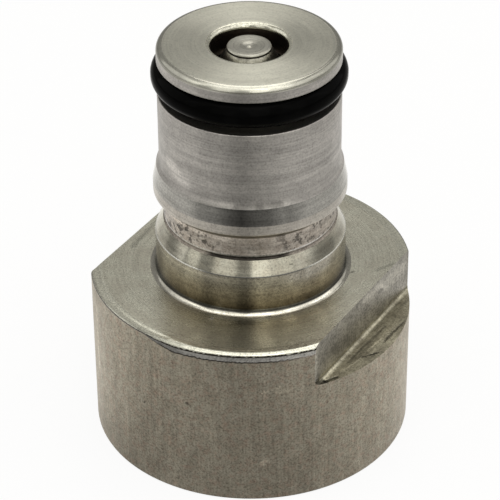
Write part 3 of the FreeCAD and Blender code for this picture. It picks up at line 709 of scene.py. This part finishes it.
def finishEdges(shape, sharpAngle=30, creaseAngle=30):
    # Outward normals, smooth faces and sharp edges. Where two finishes meet, a smaller angle is sharp too.
    work = bmesh.new()
    work.from_mesh(shape.data)
    bmesh.ops.remove_doubles(work, verts=work.verts, dist=0.0005 * mm)
    loose = [edge for edge in work.edges if not edge.link_faces]
    bmesh.ops.delete(work, geom=loose, context="EDGES")
    bmesh.ops.recalc_face_normals(work, faces=work.faces)
    for edge in work.edges:
        if edge.is_manifold:
            finishesMeet = edge.link_faces[0].material_index != edge.link_faces[1].material_index
            edge.smooth = edge.calc_face_angle(0) < radians(creaseAngle if finishesMeet else sharpAngle)
    for face in work.faces:
        face.smooth = True
    work.to_mesh(shape.data)
    work.free()
    return shape


def turn(name, outline, stepsRound):
    # outline is a list of (finish, points in millimetres); a finish covers the stretch up to its points
    names = list(dict.fromkeys(finish for finish, _ in outline))
    points = []
    reached = []
    for finish, stretch in outline:
        for r, z in stretch:
            points.append((r * mm, 0, z * mm))
            reached.append(names.index(finish))
    # The face between point n and n + 1 belongs to the stretch that reached n + 1
    zones = reached[1:] + reached[:1]
    shape = chainObject(name, points, zones)
    values = {"Steps Round": stepsRound, "Outline Points": len(points)}
    values.update({"Finish " + str(n + 1): finishes[finish] for n, finish in enumerate(names)})
    addTree(shape, latheTree(len(names)), values)
    return plainMesh(shape, name)


def arc(r, z, radius, start, end, steps):
    # Points of a round, angles in degrees from straight outwards, turning upwards
    angles = [radians(start + (end - start) * n / steps) for n in range(steps + 1)]
    return [(r + radius * cos(a), z + radius * sin(a)) for a in angles]


def steps(start, end, count):
    # Points on a straight run, without its start
    return [(start[0] + (end[0] - start[0]) * n / count, start[1] + (end[1] - start[1]) * n / count)
            for n in range(1, count + 1)]


# The body, in millimetres
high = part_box("adapter_body")[1]
body = {
    "baseRadius": high.y / mm,
    "top": high.z / mm,
    "baseTop": 17.25,
    "footChamfer": 0.3,
    "rimBand": 1.0,          # the top's outermost ring, burnished, with its edge rolled down
    "rimDip": 0.035,
    "rollHeight": 0.21,
    # The rolled edge from the lip inwards: how far in and how far up
    "roll": ((0.012, 0.03), (0.04, 0.055), (0.13, 0.105), (0.22, 0.155), (0.31, 0.193), (0.40, 0.21)),
    "seam": 0.24,            # the dark gap under the rim's burr
    "bandHeight": 0.44,      # the band under it, turned slightly off the bar's centre
    # Rows round the rim: how far in from the bar, and how far above the level that is named
    "rimRows": {
        "barEdge": (0.0, "bandFoot", -0.10),
        "lowerSeam": (0.09, "bandFoot", -0.06),
        "bandFoot": (0.07, "bandFoot", 0.0),
        "bandTop": (0.10, "bandTop", 0.0),
        "seamFoot": (0.18, "bandTop", 0.03),
        "seamTop": (0.18, "lip", -0.02),
        "underLip": (0.09, "lip", -0.012),
        "lip": (0.08, "lip", 0.0),
    },
    # The same rows where the band has run out and a fine line is left: how far in, and how far
    # under the top
    "flushRows": {
        "barEdge": (0.0, 0.22),
        "lowerSeam": (0.004, 0.20),
        "bandFoot": (0.006, 0.18),
        "bandTop": (0.008, 0.14),
        "seamFoot": (0.07, 0.13),
        "seamTop": (0.07, 0.075),
        "underLip": (0.03, 0.07),
        "lip": (0.04, 0.06),
    },
    "flushRoll": (0.05, 0.05),
    "flushRollStep": (0.02, 0.009),
    "flatsAcross": 24.9,
    "ledge": 12.7,
    "ledgeCorner": 0.45,
    "rootRadius": 0.6,
    "collarRadius": 9.2,
    "collarTop": 21.5,
    "coneTop": 23.1,
    "lockRadius": 8.25,
    "lockTop": 25.2,
    "bulgeRadius": 9.28,
    "lipTop": 26.2,
    "landTop": 27.15,
    "rampRadius": 8.93,
    "rampTop": 28.8,
    "postRadius": 8.65,
    "postFoot": 29.35,
    "postTop": 36.5,
    "sealFloor": 6.55,
    "discFoot": 39.85,
    "discRound": 0.6,
    "mouthRadius": 3.6,
    "mouthRound": 0.45,
    "seatTop": 38.9,
    "chamberRadius": 5.2,
    "seatFoot": 37.3,
    "shoulder": 22.0,
    "boreRadius": 5.7,
    "snapRadius": 6.05,
    "snapTop": 20.55,
    "snapFoot": 19.45,
    "socketTop": 11.0,
    "reliefRadius": 11.755,
    "reliefFoot": 8.7,
    "threadRadius": 11.455,
    "threadTop": 8.4,
    "threadFoot": 0.8,
    "socketMouth": 12.255,
    "stepsRound": 720,
    "edgeRound": 0.1,
}


def rimRows(b):
    # The rows of points round the rim that the wear moves, as (radius, height)
    lip = b["baseTop"] - b["rimDip"] - b["rollHeight"]
    bandTop = lip - b["seam"]
    levels = {"lip": lip, "bandTop": bandTop, "bandFoot": bandTop - b["bandHeight"]}
    return {name: (b["baseRadius"] - inwards, levels[level] + upwards)
            for name, (inwards, level, upwards) in b["rimRows"].items()}


def flushRows(b):
    base = b["baseRadius"]
    top = b["baseTop"]
    rows = {name: (base - inwards, top - under) for name, (inwards, under) in b["flushRows"].items()}
    inwards, under = b["flushRoll"]
    inwardsStep, upStep = b["flushRollStep"]
    rows.update({"roll" + str(n): (base - inwards - inwardsStep * n, top - under + upStep * n)
                 for n in range(len(b["roll"]))})
    return rows


def rimRoll(b):
    # The rolled edge above the lip, from its outermost point inwards
    outer, level = rimRows(b)["lip"]
    return [(outer - inwards, level + upwards) for inwards, upwards in b["roll"]]


def bodyOutline(b):
    base = b["baseRadius"]
    top = b["baseTop"]
    soft = b["edgeRound"]
    fillet = b["collarRadius"] + b["rootRadius"]
    rim = rimRows(b)
    lipRadius = rim["lip"][0]
    collar = b["collarRadius"]
    lock = b["lockRadius"]
    cone = b["coneTop"]
    bulge = b["bulgeRadius"]
    post = b["postRadius"]
    postTop = b["postTop"]
    disc = b["discRound"]
    head = b["top"]
    mouth = b["mouthRadius"]
    mouthRound = b["mouthRound"]
    foot = b["footChamfer"]
    roll = b["roll"][-1][0]
    return [
        ("boreTurned", [(b["socketMouth"], 0)]),
        ("barDrawn", steps((b["socketMouth"], 0), (base - foot, 0), 3)),
        ("barDrawn", arc(base - foot, foot, foot, -90, 0, 5)[1:]),
        ("barDrawn", steps((base, foot), (base, top - 1), 4)),
        ("barDrawn", [rim["barEdge"]]),
        ("linePaintedShade", [rim["lowerSeam"], rim["bandFoot"]]),
        ("bandTurned", [rim["bandTop"]]),
        ("seamPaintedShade", [rim["seamFoot"], rim["seamTop"], rim["underLip"]]),
        ("rollBurnishedHighlight", [rim["lip"]] + rimRoll(b)),
        ("rimBurnished", [(lipRadius - roll - (b["rimBand"] - roll) * share,
                           top - b["rimDip"] * (1 - share) ** 2) for share in (0.2, 0.4, 0.6, 0.8, 1.0)]),
        ("baseTurned", steps((lipRadius - b["rimBand"], top), (fillet, top), 7)),
        ("filletPaintedHighlight", arc(fillet, top + b["rootRadius"], b["rootRadius"], 270, 180, 12)[1:]),
        ("collarTurned", steps((collar, top + b["rootRadius"]), (collar, b["collarTop"] - soft), 4)),
        ("edgeThin", arc(collar - soft * 1.2, b["collarTop"] - soft, soft * 1.2, 0, 60, 3)[1:]),
        ("conePolished", steps((collar - soft * 0.6, b["collarTop"] + soft * 0.2),
                               (lock + 0.15, cone - 0.25), 4)),
        ("creasePaintedShade", [(lock + 0.06, cone - 0.18), (lock, cone - 0.10), (lock, cone + 0.04)]),
        ("burrPaintedHighlight", [(lock + 0.05, cone + 0.14), (lock + 0.05, cone + 0.26)]),
        ("floorTorn", steps((lock + 0.02, cone + 0.36), (lock, b["lockTop"]), 5)),
        ("lipPaintedShade", steps((lock, b["lockTop"]), (bulge - soft, b["lipTop"] - soft), 3)),
        ("landTurned", arc(bulge - soft, b["lipTop"], soft, -45, 0, 3)),
        ("landTurned", steps((bulge, b["lipTop"]), (bulge, b["landTop"]), 2)),
        ("rampPolished", steps((bulge, b["landTop"]), (b["rampRadius"], b["rampTop"]), 4)),
        ("postTurned", steps((b["rampRadius"], b["rampTop"]), (post, b["postFoot"]), 2)),
        ("postTurned", steps((post, b["postFoot"]), (post, postTop - soft), 4)),
        ("postTurned", arc(post - soft, postTop - soft, soft, 0, 90, 3)[1:]),
        ("boreTurned", [(b["sealFloor"], postTop), (b["sealFloor"], b["discFoot"]),
                        (post - soft, b["discFoot"])]),
        ("faceTurned", arc(post - soft, b["discFoot"] + soft, soft, -90, 0, 3)[1:]),
        ("postTurned", [(post, head - disc)]),
        ("discRounded", arc(post - disc, head - disc, disc, 0, 90, 15)[1:]),
        ("faceTurned", steps((post - disc, head), (mouth + mouthRound, head), 6)),
        ("rimBurnished", arc(mouth + mouthRound, head - mouthRound, mouthRound, 90, 180, 7)[1:]),
        ("mouthPaintedShade", [(mouth, b["seatTop"])]),
        ("boreTurned", [(b["chamberRadius"], b["seatFoot"]),
                        (b["chamberRadius"], b["shoulder"]), (b["boreRadius"], b["shoulder"]),
                        (b["boreRadius"], b["snapTop"]), (b["snapRadius"], b["snapTop"]),
                        (b["snapRadius"], b["snapFoot"]), (b["boreRadius"], b["snapFoot"]),
                        (b["boreRadius"], b["socketTop"]), (b["reliefRadius"], b["socketTop"]),
                        (b["reliefRadius"], b["reliefFoot"]), (b["threadRadius"], b["threadTop"]),
                        (b["threadRadius"], b["threadFoot"])]),
    ]


# The band under the rim covers only part of the way round, and its edges and the burr above it are torn.
# Rows that cross here can leave nothing of the body after the flats are cut, so look for it after a change.
rimWear = {
    "middle": radians(-51.2),
    "reach": 0.669,
    "fadeOut": 7.1,
    "tear": 0.3,
    "tearsPerMm": 4.6,
    "seed": 7.0,
    "nearRow": 0.002,        # how near a row's place a point has to lie to belong to it
    "leastTear": 0.15,       # what is left of the lip's tears where the band has run out
    "tearBelow": 0.4,
    "tearInwards": 0.4,
    "tearDown": 1.6,
}


def wearRim(shape, b, wear):
    rows = rimRows(b)
    rows.update({"roll" + str(n): place for n, place in enumerate(rimRoll(b))})
    flush = flushRows(b)
    for vertex in shape.data.vertices:
        r = sqrt(vertex.co.x ** 2 + vertex.co.y ** 2) / mm
        z = vertex.co.z / mm
        role = next((name for name, (rowR, rowZ) in rows.items()
                     if abs(r - rowR) + abs(z - rowZ) < wear["nearRow"]), None)
        if role is None:
            continue
        angle = atan2(vertex.co.y, vertex.co.x)
        share = min(1.0, max(0.0, (cos(angle - wear["middle"]) - wear["reach"]) * wear["fadeOut"]))
        flushR, flushZ = flush[role]
        r += (flushR - r) * (1 - share)
        z += (flushZ - z) * (1 - share)
        spot = Vector((cos(angle), sin(angle), 0)) * b["baseRadius"] * wear["tearsPerMm"]
        torn = noise.noise(spot + Vector((0, 0, wear["seed"]))) * wear["tear"]
        torn *= wear["leastTear"] + (1 - wear["leastTear"]) * share
        tornBelow = noise.noise(spot + Vector((0, 0, wear["seed"] * 2))) * wear["tear"] * share
        if role in ("barEdge", "lowerSeam", "bandFoot"):
            z += tornBelow * wear["tearBelow"]
        elif role in ("lip", "underLip"):
            r -= abs(torn) * wear["tearInwards"]
            z -= abs(torn) * wear["tearDown"]
        vertex.co = (cos(angle) * r * mm, sin(angle) * r * mm, z * mm)


def flatCutter(b, side):
    # A bar along Y whose section leaves the flat, its rounded corner and the ledge
    flat = b["flatsAcross"] / 2
    corner = b["ledgeCorner"]
    section = [(flat, b["baseTop"] + 1)]
    section += arc(flat + corner, b["ledge"] + corner, corner, 180, 270, 6)
    section += [(b["baseRadius"] + 1, b["ledge"]), (b["baseRadius"] + 1, b["baseTop"] + 1)]
    half = b["baseRadius"] + 0.7
    work = bmesh.new()
    ends = [[work.verts.new((side * x * mm, y * mm, z * mm)) for x, z in section] for y in (-half, half)]
    work.faces.new(ends[0])
    work.faces.new(ends[1])
    for n in range(len(section)):
        m = (n + 1) % len(section)
        face = work.faces.new((ends[0][n], ends[0][m], ends[1][m], ends[1][n]))
        face.material_index = 0 if n == 0 else 1
    bmesh.ops.recalc_face_normals(work, faces=work.faces)
    mesh = bpy.data.meshes.new("flatCutter")
    work.to_mesh(mesh)
    work.free()
    mesh.materials.append(finishes["flatMilled"])
    mesh.materials.append(finishes["ledgeMilled"])
    cutter = bpy.data.objects.new("flatCutter", mesh)
    scene.collection.objects.link(cutter)
    return cutter


def makeBody(b):
    shape = turn("turnedBody", bodyOutline(b), b["stepsRound"])
    wearRim(shape, b, rimWear)
    finishEdges(shape)
    cutters = [flatCutter(b, side) for side in (1, -1)]
    for cutter in cutters:
        cut = shape.modifiers.new("flat", "BOOLEAN")
        cut.operation = "DIFFERENCE"
        cut.solver = "EXACT"
        cut.material_mode = "TRANSFER"
        cut.object = cutter
    plainMesh(shape, "turnedBody")
    for cutter in cutters:
        bpy.data.objects.remove(cutter)
    finishEdges(shape, 30, 9)
    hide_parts("adapter_body")
    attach(shape, "adapter")
    return shape


turnedBody = makeBody(body)
print("body turned,", len(turnedBody.data.polygons), "faces")


# The two seal rings
sealLook = {"stepsRound": 224, "stepsSection": 40, "partingLine": 0.02, "partingWidth": 9}


def makeSeal(name, node, look):
    low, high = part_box(node)
    section = (high.z - low.z) / mm / 2
    centreR = high.x / mm - section
    centreZ = (high.z + low.z) / mm / 2
    points = []
    for n in range(look["stepsSection"]):
        angle = 360 * n / look["stepsSection"]
        # A faint flat where the mould halves met, on the outside and the inside
        off = min(abs((angle + 90) % 180 - 90), look["partingWidth"]) / look["partingWidth"]
        radius = section - look["partingLine"] * (1 - off)
        points.append((centreR + radius * cos(radians(angle)), centreZ + section * sin(radians(angle))))
    shape = finishEdges(turn(name, [("sealRubber", points)], look["stepsRound"]), 60)
    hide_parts(node)
    return shape


postSeal = makeSeal("postSealRing", "post_o_ring", sealLook)
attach(postSeal, "adapter")
poppetSeal = makeSeal("poppetSealRing", "poppet_o_ring", {**sealLook, "stepsRound": 128, "stepsSection": 28})
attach(poppetSeal, "poppet")
print("seal rings made")


# The poppet pin, with the small nub that parting off leaves at its centre
pin = {
    "tipRadius": 2.1,
    "tipChamfer": 0.2,
    "nubRadius": 0.22,
    "nubDrop": 0.16,
    "flareDrop": 0.34,       # the cone below the tip, down to the seal's flange
    "flareFoot": 1.80,
    "flareRadius": 2.95,
    "lipTop": 38.734,
    "lipRadius": 3.566,
    "grooveTop": 38.334,
    "grooveRadius": 3.064,
    "headTop": 36.734,
    "headRadius": 4.5,
    "headFoot": 35.734,
    "tailRadius": 1.5,
    "tailChamfer": 0.3,
    "stepsRound": 160,
}


def makePin(p):
    low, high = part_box("poppet_pin")
    top = high.z / mm
    foot = low.z / mm
    tip = p["tipRadius"]
    nub = p["nubRadius"]
    drop = p["nubDrop"]
    chamfer = p["tipChamfer"]
    lip = p["lipTop"]
    tail = p["tailRadius"]
    tailChamfer = p["tailChamfer"]
    face = top - drop * 0.35
    outline = [
        ("pinTurned", [(0.0, top - drop * 0.1), (nub * 0.5, top - drop * 0.2),
                       (nub, top - drop), (nub * 1.8, top - drop),
                       (nub * 2.6, face)]),
        ("pinTurned", steps((nub * 2.6, face), (tip - chamfer - 0.1, top), 4)),
        ("pinTurned", arc(tip - chamfer, top - chamfer, chamfer, 90, 0, 5)),
        ("pinSide", [(tip, top - p["flareDrop"]), (p["flareRadius"], top - p["flareFoot"]),
                     (p["flareRadius"] + 0.1, lip + 0.1), (p["lipRadius"] - 0.05, lip)]),
        ("pinTurned", [(p["lipRadius"], lip - 0.05), (p["lipRadius"], p["grooveTop"]),
                       (p["grooveRadius"], p["grooveTop"]), (p["grooveRadius"], p["headTop"]),
                       (p["headRadius"] - 0.06, p["headTop"]), (p["headRadius"], p["headTop"] - 0.06),
                       (p["headRadius"], p["headFoot"] + 0.06), (p["headRadius"] - 0.06, p["headFoot"]),
                       (tail + 0.15, p["headFoot"]), (tail, p["headFoot"] - 0.15),
                       (tail, foot + tailChamfer), (tail - tailChamfer, foot),
                       (0.0, foot)]),
    ]
    shape = finishEdges(turn("poppetPin", outline, p["stepsRound"]))
    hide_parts("poppet_pin")
    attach(shape, "poppet")
    return shape


makePin(pin)
print("pin turned")


# Coils: the spring and the socket's thread are both strips wound round the axis
spring = {"wire": 0.7, "closedPitch": 0.85, "closedTurns": 1.0, "turns": 7.0, "stepsRound": 72,
          "stepsWire": 18}


def coilGrid(tree, given):
    # Along the coil in X and round its section in Y, both from 0 to 1
    grid = addNode(tree, "GeometryNodeMeshGrid", {
        "Size X": 1.0, "Size Y": 1.0,
        "Vertices X": given["Steps Along"], "Vertices Y": given["Steps Across"]})
    at = addNode(tree, "ShaderNodeSeparateXYZ", {0: addNode(tree, "GeometryNodeInputPosition")})
    return grid, plus(tree, at.outputs[0], 0.5), plus(tree, at.outputs[1], 0.5)


def aboutAxis(tree, grid, radius, angle, height):
    moved = movedRound(tree, grid, radius, angle, height)
    return addNode(tree, "GeometryNodeMergeByDistance", {"Geometry": moved, "Distance": 0.002 * mm})


def springTree():
    tree, given = startTree("spring", [
        ("Steps Along", "NodeSocketInt", 500), ("Steps Across", "NodeSocketInt", 19),
        ("Coil Radius", "NodeSocketFloat", 0.0033), ("Wire Radius", "NodeSocketFloat", 0.00035),
        ("Foot", "NodeSocketFloat", 0.022), ("Head", "NodeSocketFloat", 0.0356),
        ("Turns", "NodeSocketFloat", 7.0), ("Closed Turns", "NodeSocketFloat", 1.0),
        ("Closed Pitch", "NodeSocketFloat", 0.00085), ("Finish", "NodeSocketMaterial", None)])
    grid, along, around = coilGrid(tree, given)
    turns = times(tree, along, given["Turns"])
    closedRise = times(tree, given["Closed Turns"], given["Closed Pitch"])
    # Height of the wire's middle: a closed turn, the open turns, and a closed turn
    openFoot = plus(tree, given["Foot"], closedRise)
    openHead = minus(tree, given["Head"], closedRise)
    lastTurn = minus(tree, given["Turns"], given["Closed Turns"])
    lower = spread(tree, turns, 0.0, given["Closed Turns"], given["Foot"], openFoot)
    rise = spread(tree, turns, given["Closed Turns"], lastTurn, 0.0, minus(tree, openHead, openFoot))
    upper = spread(tree, turns, lastTurn, given["Turns"], 0.0, closedRise)
    middle = plus(tree, plus(tree, lower, rise), upper)
    angle = times(tree, turns, 2 * pi)
    section = times(tree, around, 2 * pi)
    # The wire's ends close to a point, inside the ground faces
    pointed = 400.0
    taper = calc(tree, "MINIMUM", times(tree, along, pointed), times(tree, minus(tree, 1.0, along), pointed))
    wire = times(tree, given["Wire Radius"], calc(tree, "MINIMUM", taper, 1.0))
    radius = plus(tree, given["Coil Radius"], times(tree, wire, calc(tree, "COSINE", section)))
    height = plus(tree, middle, times(tree, wire, calc(tree, "SINE", section)))
    ground = addNode(tree, "ShaderNodeClamp", {"Value": height, "Min": given["Foot"], "Max": given["Head"]})
    coil = aboutAxis(tree, grid, radius, angle, ground)
    endTree(tree, coil, [given["Finish"]])
    return tree


def makeSpring(s):
    low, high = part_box("poppet_spring")
    shape = chainObject("poppetSpring", [(0, 0, low.z), (0, 0, high.z)])
    addTree(shape, springTree(), {
        "Steps Along": int(s["turns"] * s["stepsRound"]) + 1, "Steps Across": s["stepsWire"] + 1,
        "Coil Radius": high.x - s["wire"] * mm / 2, "Wire Radius": s["wire"] * mm / 2, "Foot": low.z,
        "Head": high.z, "Turns": s["turns"], "Closed Turns": s["closedTurns"],
        "Closed Pitch": s["closedPitch"] * mm, "Finish": finishes["springDrawn"]})
    plainMesh(shape, "poppetSpring")
    finishEdges(shape, 45)
    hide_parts("poppet_spring")
    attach(shape, "adapter")
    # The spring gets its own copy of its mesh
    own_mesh(shape)
    return shape


makeSpring(spring)

# The socket's female thread: 14 turns to the inch, 55 degree flanks
thread = {"pitch": 1.814, "crestRadius": 10.35, "rootInset": 0.06, "crestWidth": 0.32, "flankAngle": 27.5,
          "runOut": 0.6, "stepsRound": 96}


def threadTree():
    tree, given = startTree("socketThread", [
        ("Steps Along", "NodeSocketInt", 400), ("Steps Across", "NodeSocketInt", 7),
        ("Root Radius", "NodeSocketFloat", 0.0115), ("Crest Radius", "NodeSocketFloat", 0.0103),
        ("Foot Half Width", "NodeSocketFloat", 0.0009), ("Crest Half Width", "NodeSocketFloat", 0.00016),
        ("Start", "NodeSocketFloat", 0.001), ("Pitch", "NodeSocketFloat", 0.001814),
        ("Turns", "NodeSocketFloat", 4.0), ("Run Out", "NodeSocketFloat", 0.5),
        ("Finish", "NodeSocketMaterial", None)])
    grid, along, around = coilGrid(tree, given)
    turns = times(tree, along, given["Turns"])
    left = minus(tree, given["Turns"], turns)
    # The ridge grows out of the wall at its start and sinks back at its end
    size = calc(tree, "MINIMUM", calc(tree, "DIVIDE", turns, given["Run Out"]),
                calc(tree, "DIVIDE", left, given["Run Out"]))
    size = calc(tree, "MINIMUM", size, 1.0, clamp=True)
    # Section by corners: foot, crest, crest, foot, and back to the first behind the wall
    corner = times(tree, around, 4.0)
    onCrest = calc(tree, "LESS_THAN", calc(tree, "ABSOLUTE", minus(tree, corner, 1.5)), 1.0)
    upper = calc(tree, "LESS_THAN", calc(tree, "ABSOLUTE", minus(tree, corner, 2.5)), 1.0)
    side = minus(tree, times(tree, upper, 2.0), 1.0)
    halfWidth = addNode(tree, "ShaderNodeMix", {"Factor": onCrest, "A": given["Foot Half Width"],
                        "B": given["Crest Half Width"]}, data_type="FLOAT")
    halfWidth = times(tree, halfWidth, size)
    fullDepth = minus(tree, given["Root Radius"], given["Crest Radius"])
    radius = minus(tree, given["Root Radius"], times(tree, fullDepth, times(tree, onCrest, size)))
    middle = plus(tree, given["Start"], times(tree, turns, given["Pitch"]))
    height = plus(tree, middle, times(tree, side, halfWidth))
    coil = aboutAxis(tree, grid, radius, times(tree, turns, 2 * pi), height)
    endTree(tree, coil, [given["Finish"]])
    return tree


def makeThread(t):
    foot = body["threadFoot"] + t["pitch"] * 0.5
    top = body["threadTop"] - t["pitch"] * 0.4
    turns = (top - foot) / t["pitch"]
    root = body["threadRadius"] + t["rootInset"]
    depth = root - t["crestRadius"]
    footHalf = t["crestWidth"] / 2 + depth * tan(radians(t["flankAngle"]))
    shape = chainObject("socketThread", [(0, 0, foot * mm), (0, 0, top * mm)])
    addTree(shape, threadTree(), {
        "Steps Along": int(turns * t["stepsRound"]) + 1, "Steps Across": 5, "Root Radius": root * mm,
        "Crest Radius": t["crestRadius"] * mm, "Foot Half Width": footHalf * mm,
        "Crest Half Width": t["crestWidth"] / 2 * mm, "Start": foot * mm, "Pitch": t["pitch"] * mm,
        "Turns": turns, "Run Out": t["runOut"], "Finish": finishes["boreTurned"]})
    plainMesh(shape, "socketThread")
    finishEdges(shape)
    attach(shape, "adapter")
    return shape


makeThread(thread)
print("coils wound")


# The sealing washer in the socket
washer = {"innerRadius": 5.8, "edgeRound": 0.2, "grooves": 5, "grooveDepth": 0.05, "stepsRound": 160}


def makeWasher(w):
    low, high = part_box("coupler_gasket")
    outer = high.x / mm
    foot = low.z / mm
    top = high.z / mm
    soft = w["edgeRound"]
    width = (outer - w["innerRadius"] - 2 * soft) / w["grooves"]
    # Shallow pressed rings on the face that meets the coupler
    under = []
    for n in range(w["grooves"]):
        start = w["innerRadius"] + soft + n * width
        under += [(start + 0.1, foot), (start + width * 0.5, foot + w["grooveDepth"]),
                  (start + width - 0.1, foot)]
    outline = [("washerWhite", arc(w["innerRadius"] + soft, foot + soft, soft, 180, 270, 4)),
               ("washerWhite", under),
               ("washerWhite", arc(outer - soft, foot + soft, soft, -90, 0, 4)),
               ("washerWhite", arc(outer - soft, top - soft, soft, 0, 90, 4)),
               ("washerWhite", arc(w["innerRadius"] + soft, top - soft, soft, 90, 180, 4))]
    shape = finishEdges(turn("couplerGasket", outline, w["stepsRound"]), 50)
    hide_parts("coupler_gasket")
    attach(shape, "adapter")
    return shape


makeWasher(washer)

# The stamped seat and the snap ring keep their CAD shapes
for node, finish in (("spring_seat", "seatStamped"), ("retaining_ring", "ringStamped")):
    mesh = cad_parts[node].data
    mesh.materials.clear()
    mesh.materials.append(finishes[finish])
print("small parts finished")

scene.view_settings.view_transform = "Standard"
